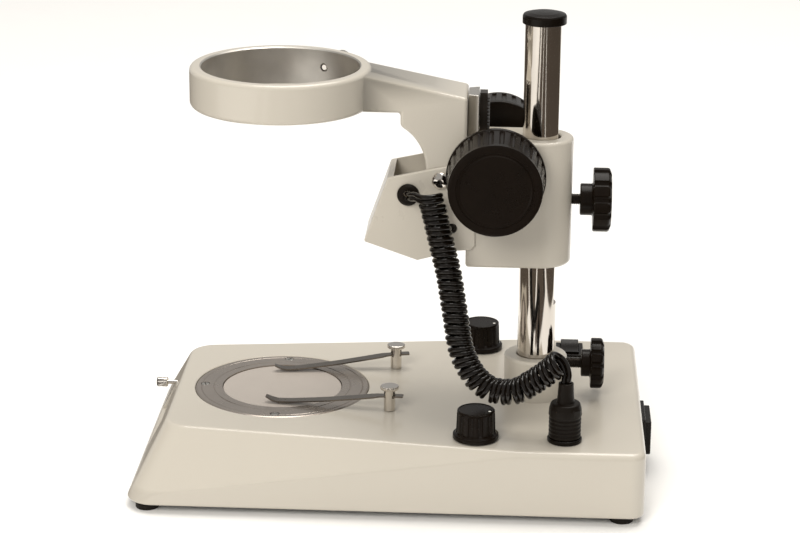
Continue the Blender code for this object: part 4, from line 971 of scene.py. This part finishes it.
def make_block():
    points = [(-BLOCK_HALF, BLOCK_FRONT), (BLOCK_HALF, BLOCK_FRONT)]
    points += [(BLOCK_HALF * math.cos(math.pi * k / 64), POLE.y + BLOCK_HALF * math.sin(math.pi * k / 64))
               for k in range(65)]
    block = prism("block", points, BLOCK_LOW, BLOCK_HIGH, ENAMEL, bevel=1.8, steps=5)
    hole = POLE_RADIUS + GAP
    drill(block, [
        (hole + 0.5, BLOCK_LOW - 5), (hole + 0.5, BLOCK_LOW), (hole, BLOCK_LOW + 0.5),
        (hole, BLOCK_HIGH - 0.5), (hole + 0.5, BLOCK_HIGH), (hole + 0.5, BLOCK_HIGH + 5),
    ], (0, POLE.y, 0), segments=96)
    combine(block, prism("channel", dovetail(GAP, 5), BLOCK_LOW - 10, BLOCK_HIGH + 10, MACHINED))
    groove = box("groove", (-4.6, BLOCK_FRONT, BLOCK_LOW - 10), (4.6, RACK_Y + 1.1, BLOCK_HIGH + 10),
                 MACHINED)
    combine(block, groove)
    drill(block, [(6.3, -40), (6.3, 40)], PINION, ALONG_X, MACHINED, 64)
    drill(block, [(3.3, -7), (3.3, 7)], (0, POLE.y + POLE_RADIUS + 6, CLAMP_HIGH), ALONG_Y, MACHINED)
    shown(block, "focus_block")


def make_focus():
    inner, sleeve, flange, face = 4.3, 6.0, 8.6, BLOCK_HALF + GAP
    back, front = 26.2, 24.3
    near, far = low_of("focus_knob_near").x, high_of("focus_knob_near").x
    rim, hub = near + 7.4, 9.6
    cut = flutes(KNOB_FLUTES, 1.0, 0.5)
    for side, turn in (("near", ALONG_X), ("far", ALONG_MINUS_X)):
        bush = turned(f"bush_{side}", [
            (inner, 7.0), (sleeve, 7.0, 0.2), (sleeve, face), (flange, face), (flange, face + 2.7, 0.35),
            (inner, face + 2.7, 0.2),
        ], BRASS, PINION, turn, 96, hole=True)
        shown(bush, f"bearing_{side}")
        knob = turned(f"coarse_knob_{side}", [
            (4.3, 44.3), (4.3, near), (hub, near, 0.4), (hub, rim - 0.8, 0.8), (hub + 2, rim, 0.5),
            (back, rim, 0.9),
            (back, rim + 3.7, 0.4), (back - 0.5, rim + 4.0, 0.1), (back - 0.5, rim + 4.6, 0.2, 0.85),
            (front + 0.15, far - 3.8, 0.3, 0.85), (front + 0.15, far - 3.3, 0.1),
            (front + 0.1, far - 0.2, 0.6),
            (front - 1.4, far, 0.2), (20.3, far, 0.1), (20.1, far - 0.35, 0.1), (19.5, far - 0.35, 0.1),
            (19.3, far, 0.1),
            (18.9, far, 0.2), (18.2, far - 0.25, 0.3), (13.0, far - 0.27), (8.0, far - 0.29),
            (4.0, far - 0.3), (0.5, far - 0.3),
        ], KNOB_PLASTIC, PINION, turn, KNOB_FLUTES * 16, pattern=cut)
        shown(knob, f"focus_knob_{side}")


make_block()
make_focus()


# ---- arm, ring, slide and rack

ARM_HALF, ARM_FRONT, ARM_REAR = 17.0, 14.5, BLOCK_FRONT - GAP
ARM_LOW = low_of("arm_and_ring").z
SLIDE_LOW, SLIDE_HIGH = low_of("dovetail_slide").z, high_of("dovetail_slide").z
RING_RADIUS, RING_BORE = 48.2, 42.1
RING_LOW, RING_HIGH = FOOT + 195.8, FOOT + 216.9
RING_SCREW = math.radians(151.8)
RING_SCREW_Z = joint_place("ring_lock_turn").z


def arm_outline():
    points = [(-22.0, FOOT + 196.1), (1.0, FOOT + 196.1), (1.0, FOOT + 189.0)]
    centre_y, centre_z, radius = -11.5, FOOT + 166.0, ARM_FRONT + 11.5
    for k in range(1, 25):
        turn = math.radians(60 - 2.5 * k)
        points.append((centre_y + radius * math.cos(turn), centre_z + radius * math.sin(turn)))
    points += [(ARM_FRONT, ARM_LOW), (ARM_REAR, ARM_LOW), (ARM_REAR, FOOT + 204.9), (-22.0, FOOT + 216.4)]
    return points


def make_arm():
    arm = prism("arm", arm_outline(), -ARM_HALF, ARM_HALF, ENAMEL, "X", 2.2, 5)
    low, high, edge = RING_LOW, RING_HIGH, 2.4
    ring = [(RING_BORE - 4, low), (RING_RADIUS, low, edge), (RING_RADIUS, high, edge), (RING_BORE - 4, high)]
    here = (0, STAGE.y, 0)
    combine(arm, turned("ring_body", ring, ENAMEL, here, segments=192, steps=6), "UNION")
    bore = RING_BORE
    drill(arm, [
        (bore + 0.7, low - 5), (bore + 0.7, low), (bore, low + 0.7), (bore, high - 0.7), (bore + 0.7, high),
        (bore + 0.7, high + 5),
    ], here, look=BORE_METAL, segments=192)
    out = Vector((math.cos(RING_SCREW), math.sin(RING_SCREW), 0))
    spot = Vector((0, STAGE.y, RING_SCREW_Z)) + out * RING_BORE
    drill(arm, [(2.3, -10), (2.3, 10)], spot, (0, math.pi / 2, RING_SCREW), BORE_METAL)
    for side in (-1, 1):
        drill(arm, [(2.5, -10), (2.5, 10)], (side * ARM_HALF, PIVOT.y, PIVOT.z), ALONG_X, BORE_METAL)
    shown(arm, "arm_and_ring")


def make_slide():
    slide = prism("slide", dovetail(), SLIDE_LOW, SLIDE_HIGH, MACHINED, bevel=0.4)
    shown(slide, "dovetail_slide")
    back = BLOCK_FRONT + CHANNEL + GAP
    root, tip = RACK_Y - 1.15 * MODULE, RACK_Y + 0.85 * MODULE
    pitch = math.pi * MODULE
    points = [(back, SLIDE_LOW), (root, SLIDE_LOW)]
    first = math.ceil((SLIDE_LOW - PINION.z) / pitch + 0.5)
    last = math.floor((SLIDE_HIGH - PINION.z) / pitch - 0.5)
    for tooth in range(first, last + 1):
        z = PINION.z + tooth * pitch
        points += [(root, z - 0.62 * MODULE), (tip, z - 0.26 * MODULE)]
        points += [(tip, z + 0.26 * MODULE), (root, z + 0.62 * MODULE)]
    points += [(root, SLIDE_HIGH), (back, SLIDE_HIGH)]
    shown(prism("rack_bar", points, -4.0, 4.0, DARK_STEEL, "X"), "rack")


def make_ring_screw():
    knurl = flutes(40, 0.3, 0.7)
    here = (0, STAGE.y, RING_SCREW_Z)
    screw = turned("ring_screw", [
        (1.4, 42.4), (2.0, 42.9), (2.0, 50.0), (3.6, 50.0, 0.2), (3.6, 54.0), (5.6, 54.0, 0.2),
        (6.0, 54.6, 0.1, 1.0),
        (6.0, 61.9, 0.2, 1.0), (5.2, 62.6, 0.3), (3.2, 62.6, 0.3), (2.9, 62.2, 0.2), (0.4, 62.2),
    ], CHROME, here, (0, math.pi / 2, RING_SCREW), 240, pattern=knurl)
    shown(screw, "ring_lock_screw")


make_arm()
make_slide()
make_ring_screw()


# ---- lamp housing

HOUSING_HALF, SHEET = 19.0, 1.6
FLOOR_FRONT, FLOOR_REAR = (-17.8, FOOT + 126.1), (10.8, FOOT + 116.2)
LAMP_LEAN = math.radians(19.1)  # the lamp's axis leans this far from the vertical


def make_housing():
    corners = [
        (-5.4, 161.6), (-17.8, 126.1), (10.8, 116.2), (17.2, 118.0), (29.2, 121.7),
        (39.1, 122.6), (41.5, 125.0), (41.2, 133.0), (33.5, 168.6), (26.5, 168.6),
    ]
    outline = [(y, FOOT + z) for y, z in corners]
    housing = prism("housing", outline, -HOUSING_HALF, HOUSING_HALF, SHEET_ENAMEL, "X", 0.9, 4)
    half = HOUSING_HALF - SHEET
    hollow = [(2.7, 175.0), (-15.8, 127.1), (11.4, 117.9), (11.4, 110.0), (56.5, 110.0), (56.5, 175.0)]
    combine(housing, prism("hollow", [(y, FOOT + z) for y, z in hollow], -half, half, SHEET_ENAMEL, "X"))
    seat = [a + 0.45 * (b - a) for a, b in zip(FLOOR_FRONT, FLOOR_REAR)]
    drill(housing, [(9.5, -6), (9.5, 6)], (0, *seat), (-LAMP_LEAN, 0, 0), SHEET_ENAMEL, 64)
    drill(housing, [(4.6, -5), (4.6, 5)], (HOUSING_HALF, GROMMET.y, GROMMET.z), ALONG_X, SHEET_ENAMEL)
    for side in (-1, 1):
        drill(housing, [(2.4, -5), (2.4, 5)], (side * HOUSING_HALF, PIVOT.y, PIVOT.z), ALONG_X, SHEET_ENAMEL)
    drill(housing, [(2.7, -5), (2.7, 5)], (HOUSING_HALF, LOCK.y, LOCK.z), ALONG_X, SHEET_ENAMEL)
    soften(housing, 0.18, 2, 50)
    shown(housing, "lamp_housing")


def make_fittings():
    face, inside = HOUSING_HALF, HOUSING_HALF - SHEET
    for side, turn in (("near", ALONG_X), ("far", ALONG_MINUS_X)):
        screw = turned(f"pivot_{side}", [
            (1.7, 9.0), (2.1, 9.4), (2.1, face + GAP), (4.6, face + GAP, 0.2), (4.6, face + 1.1, 0.8),
            (3.5, face + 2.3, 1.0), (1.6, face + 2.88, 1.0), (0.3, face + 2.9),
        ], CHROME, PIVOT, turn, 96, steps=6)
        shown(screw, f"pivot_screw_{side}")
    lock = turned("grub",
                  [(2.4, inside + 0.1), (2.4, face - 0.1, 0.25), (1.2, face - 0.1), (1.2, face - 1.0),
                   (0.2, face - 1.1)],
                  DARK_STEEL, (0, LOCK.y, LOCK.z), ALONG_X, 48)
    shown(lock, "lock_screw")
    hole = STRAND / 2 + TWIN + 0.1
    grommet = turned("grommet", [
        (hole, inside - 1.8, 0.3), (5.4, inside - 1.8, 0.4), (5.4, inside - GAP, 0.2), (4.3, inside - GAP),
        (4.3, face + GAP),
        (5.9, face + GAP, 0.3), (5.9, face + 1.7, 0.7), (4.6, face + 2.9, 1.0), (hole, face + 2.9, 0.5),
    ], RUBBER, (0, GROMMET.y, GROMMET.z), ALONG_X, 96, hole=True)
    shown(grommet, "cord_grommet")


make_housing()
make_fittings()


# ---- controls on the base

def make_dials():
    z = BASE_TOP
    cut = flutes(DIAL_FLUTES, 0.75, 0.35)
    for side in ("near", "far"):
        spot = (DIALS[side].x, DIALS[side].y, 0)
        dial = turned(f"dimmer_dial_{side}", [
            (3.0, z - 6.5), (3.0, z + 0.6), (12.1, z + 0.6, 0.4), (12.0, z + 3.0, 0.6), (10.7, z + 3.4, 0.4),
            (10.3, z + 4.4, 0.3, 1.0), (9.95, z + 14.2, 0.3, 0.9), (9.9, z + 15.0, 0.2), (9.8, z + 15.9, 0.5),
            (8.9, z + 16.1, 0.2), (8.6, z + 15.8, 0.2), (0.4, z + 15.8),
        ], KNOB_PLASTIC, spot, segments=DIAL_FLUTES * 24, pattern=cut)
        angle = math.radians(75)         # where each dial points
        dot = turned("dot", [(0.75, z + 15.6), (0.75, z + 15.95, 0.1), (0.2, z + 15.95)], MARKING,
                     (spot[0] + 7.4 * math.cos(angle), spot[1] + 7.4 * math.sin(angle), 0))
        combine(dial, dot, "UNION")
        shown(dial, f"dial_{side}")


def make_switch():
    z = BASE_TOP
    x, y = SWITCH.x, SWITCH.y
    bezel = box("bezel", (x - 10.6, y - 7.7, z + GAP), (x + 10.6, y + 7.7, z + 2.0), PHENOLIC, 0.5)
    combine(bezel, box("body", (x - 9.0, y - 6.2, z - 14), (x + 9.0, y + 6.2, z + 1.0), PHENOLIC), "UNION")
    combine(bezel, box("well", (x - 8.4, y - 5.4, z - 6), (x + 8.4, y + 5.4, z + 8), PHENOLIC))
    shown(bezel, "switch_frame")
    profile = [(-7.6, 3.9), (-3.8, 3.1), (0, 2.8), (3.8, 3.1), (7.6, 3.9), (7.2, -1.2), (0, -3.4),
               (-7.2, -1.2)]
    bm = bmesh.new()
    tilt = Matrix.Rotation(math.radians(9), 4, "Y")
    sides = []
    top = smooth_through([Vector((x, 0, up)) for x, up in profile[:5]], 6)
    outline = [(p.x, p.z) for p in top] + profile[5:]
    for across in (-5.0, 5.0):
        sides.append([bm.verts.new(tilt @ Vector((x, across, up)) * MM) for x, up in outline])
    joined(bm, sides)
    rocker = place("rocker", mesh_from(bm, "rocker"), PHENOLIC, (x, y, z + 0.4))
    soften(rocker, 0.35, 3, 50)
    shown(rocker, "switch_rocker")


def make_inlet():
    x, z, rear = INLET.x, FOOT + 15.8, BASE_REAR
    inlet = box("inlet_flange", (x - 15.2, rear + GAP, z - 11.4), (x + 15.2, rear + 2.8, z + 11.4), PHENOLIC,
                0.5)
    collar = box("collar", (x - 13.2, rear - 16, z - 9.4), (x + 13.2, rear + 6.0, z + 9.4), PHENOLIC, 0.6)
    combine(inlet, collar, "UNION")
    combine(inlet,
            box("recess", (x - 11.8, rear - 13, z - 7.8), (x + 11.8, rear + 12, z + 7.8), PHENOLIC, 0.8))
    for across, up in ((-7.0, -1.5), (7.0, -1.5), (0, 2.5)):
        pin = box("pin", (x + across - 1.0, rear - 14.5, z + up - 2.0),
                  (x + across + 1.0, rear + 3.0, z + up + 2.0), BRASS, 0.3)
        combine(inlet, pin, "UNION")
    shown(inlet, "mains_inlet")


def make_rod():
    knob_front, rod_end = low_of("slider_rod").y, high_of("slider_rod").y
    length = rod_end - knob_front
    profile = [
        (0.9, 6.1 - length), (1.2, 6.5 - length), (1.2, 0), (2.4, 0, 0.2),
        (2.8, 0.4, 0.15, 1.0), (2.8, 5.5, 0.3, 1.0), (2.3, 6.1, 0.3), (0.3, 6.1),
    ]
    rod = turned("pull_rod", profile, CHROME, (ROD.x, knob_front + 6.1, ROD.z), ALONG_MINUS_Y, 120,
                 pattern=flutes(24, 0.15))
    shown(rod, "slider_rod")


make_dials()
make_switch()
make_inlet()
make_rod()


# ---- the CAD nodes that show as they are

def finish_the_rest():
    """The frame's own nodes that are still shown get the same procedural finishes."""
    for name, slot in SLOT_OF.items():
        node = frame["nodes"][name]
        look = LOOK_OF_SLOT[slot]
        for k in range(len(node.data.materials)):
            node.data.materials[k] = look
        if not node.data.materials:
            node.data.materials.append(look)


finish_the_rest()
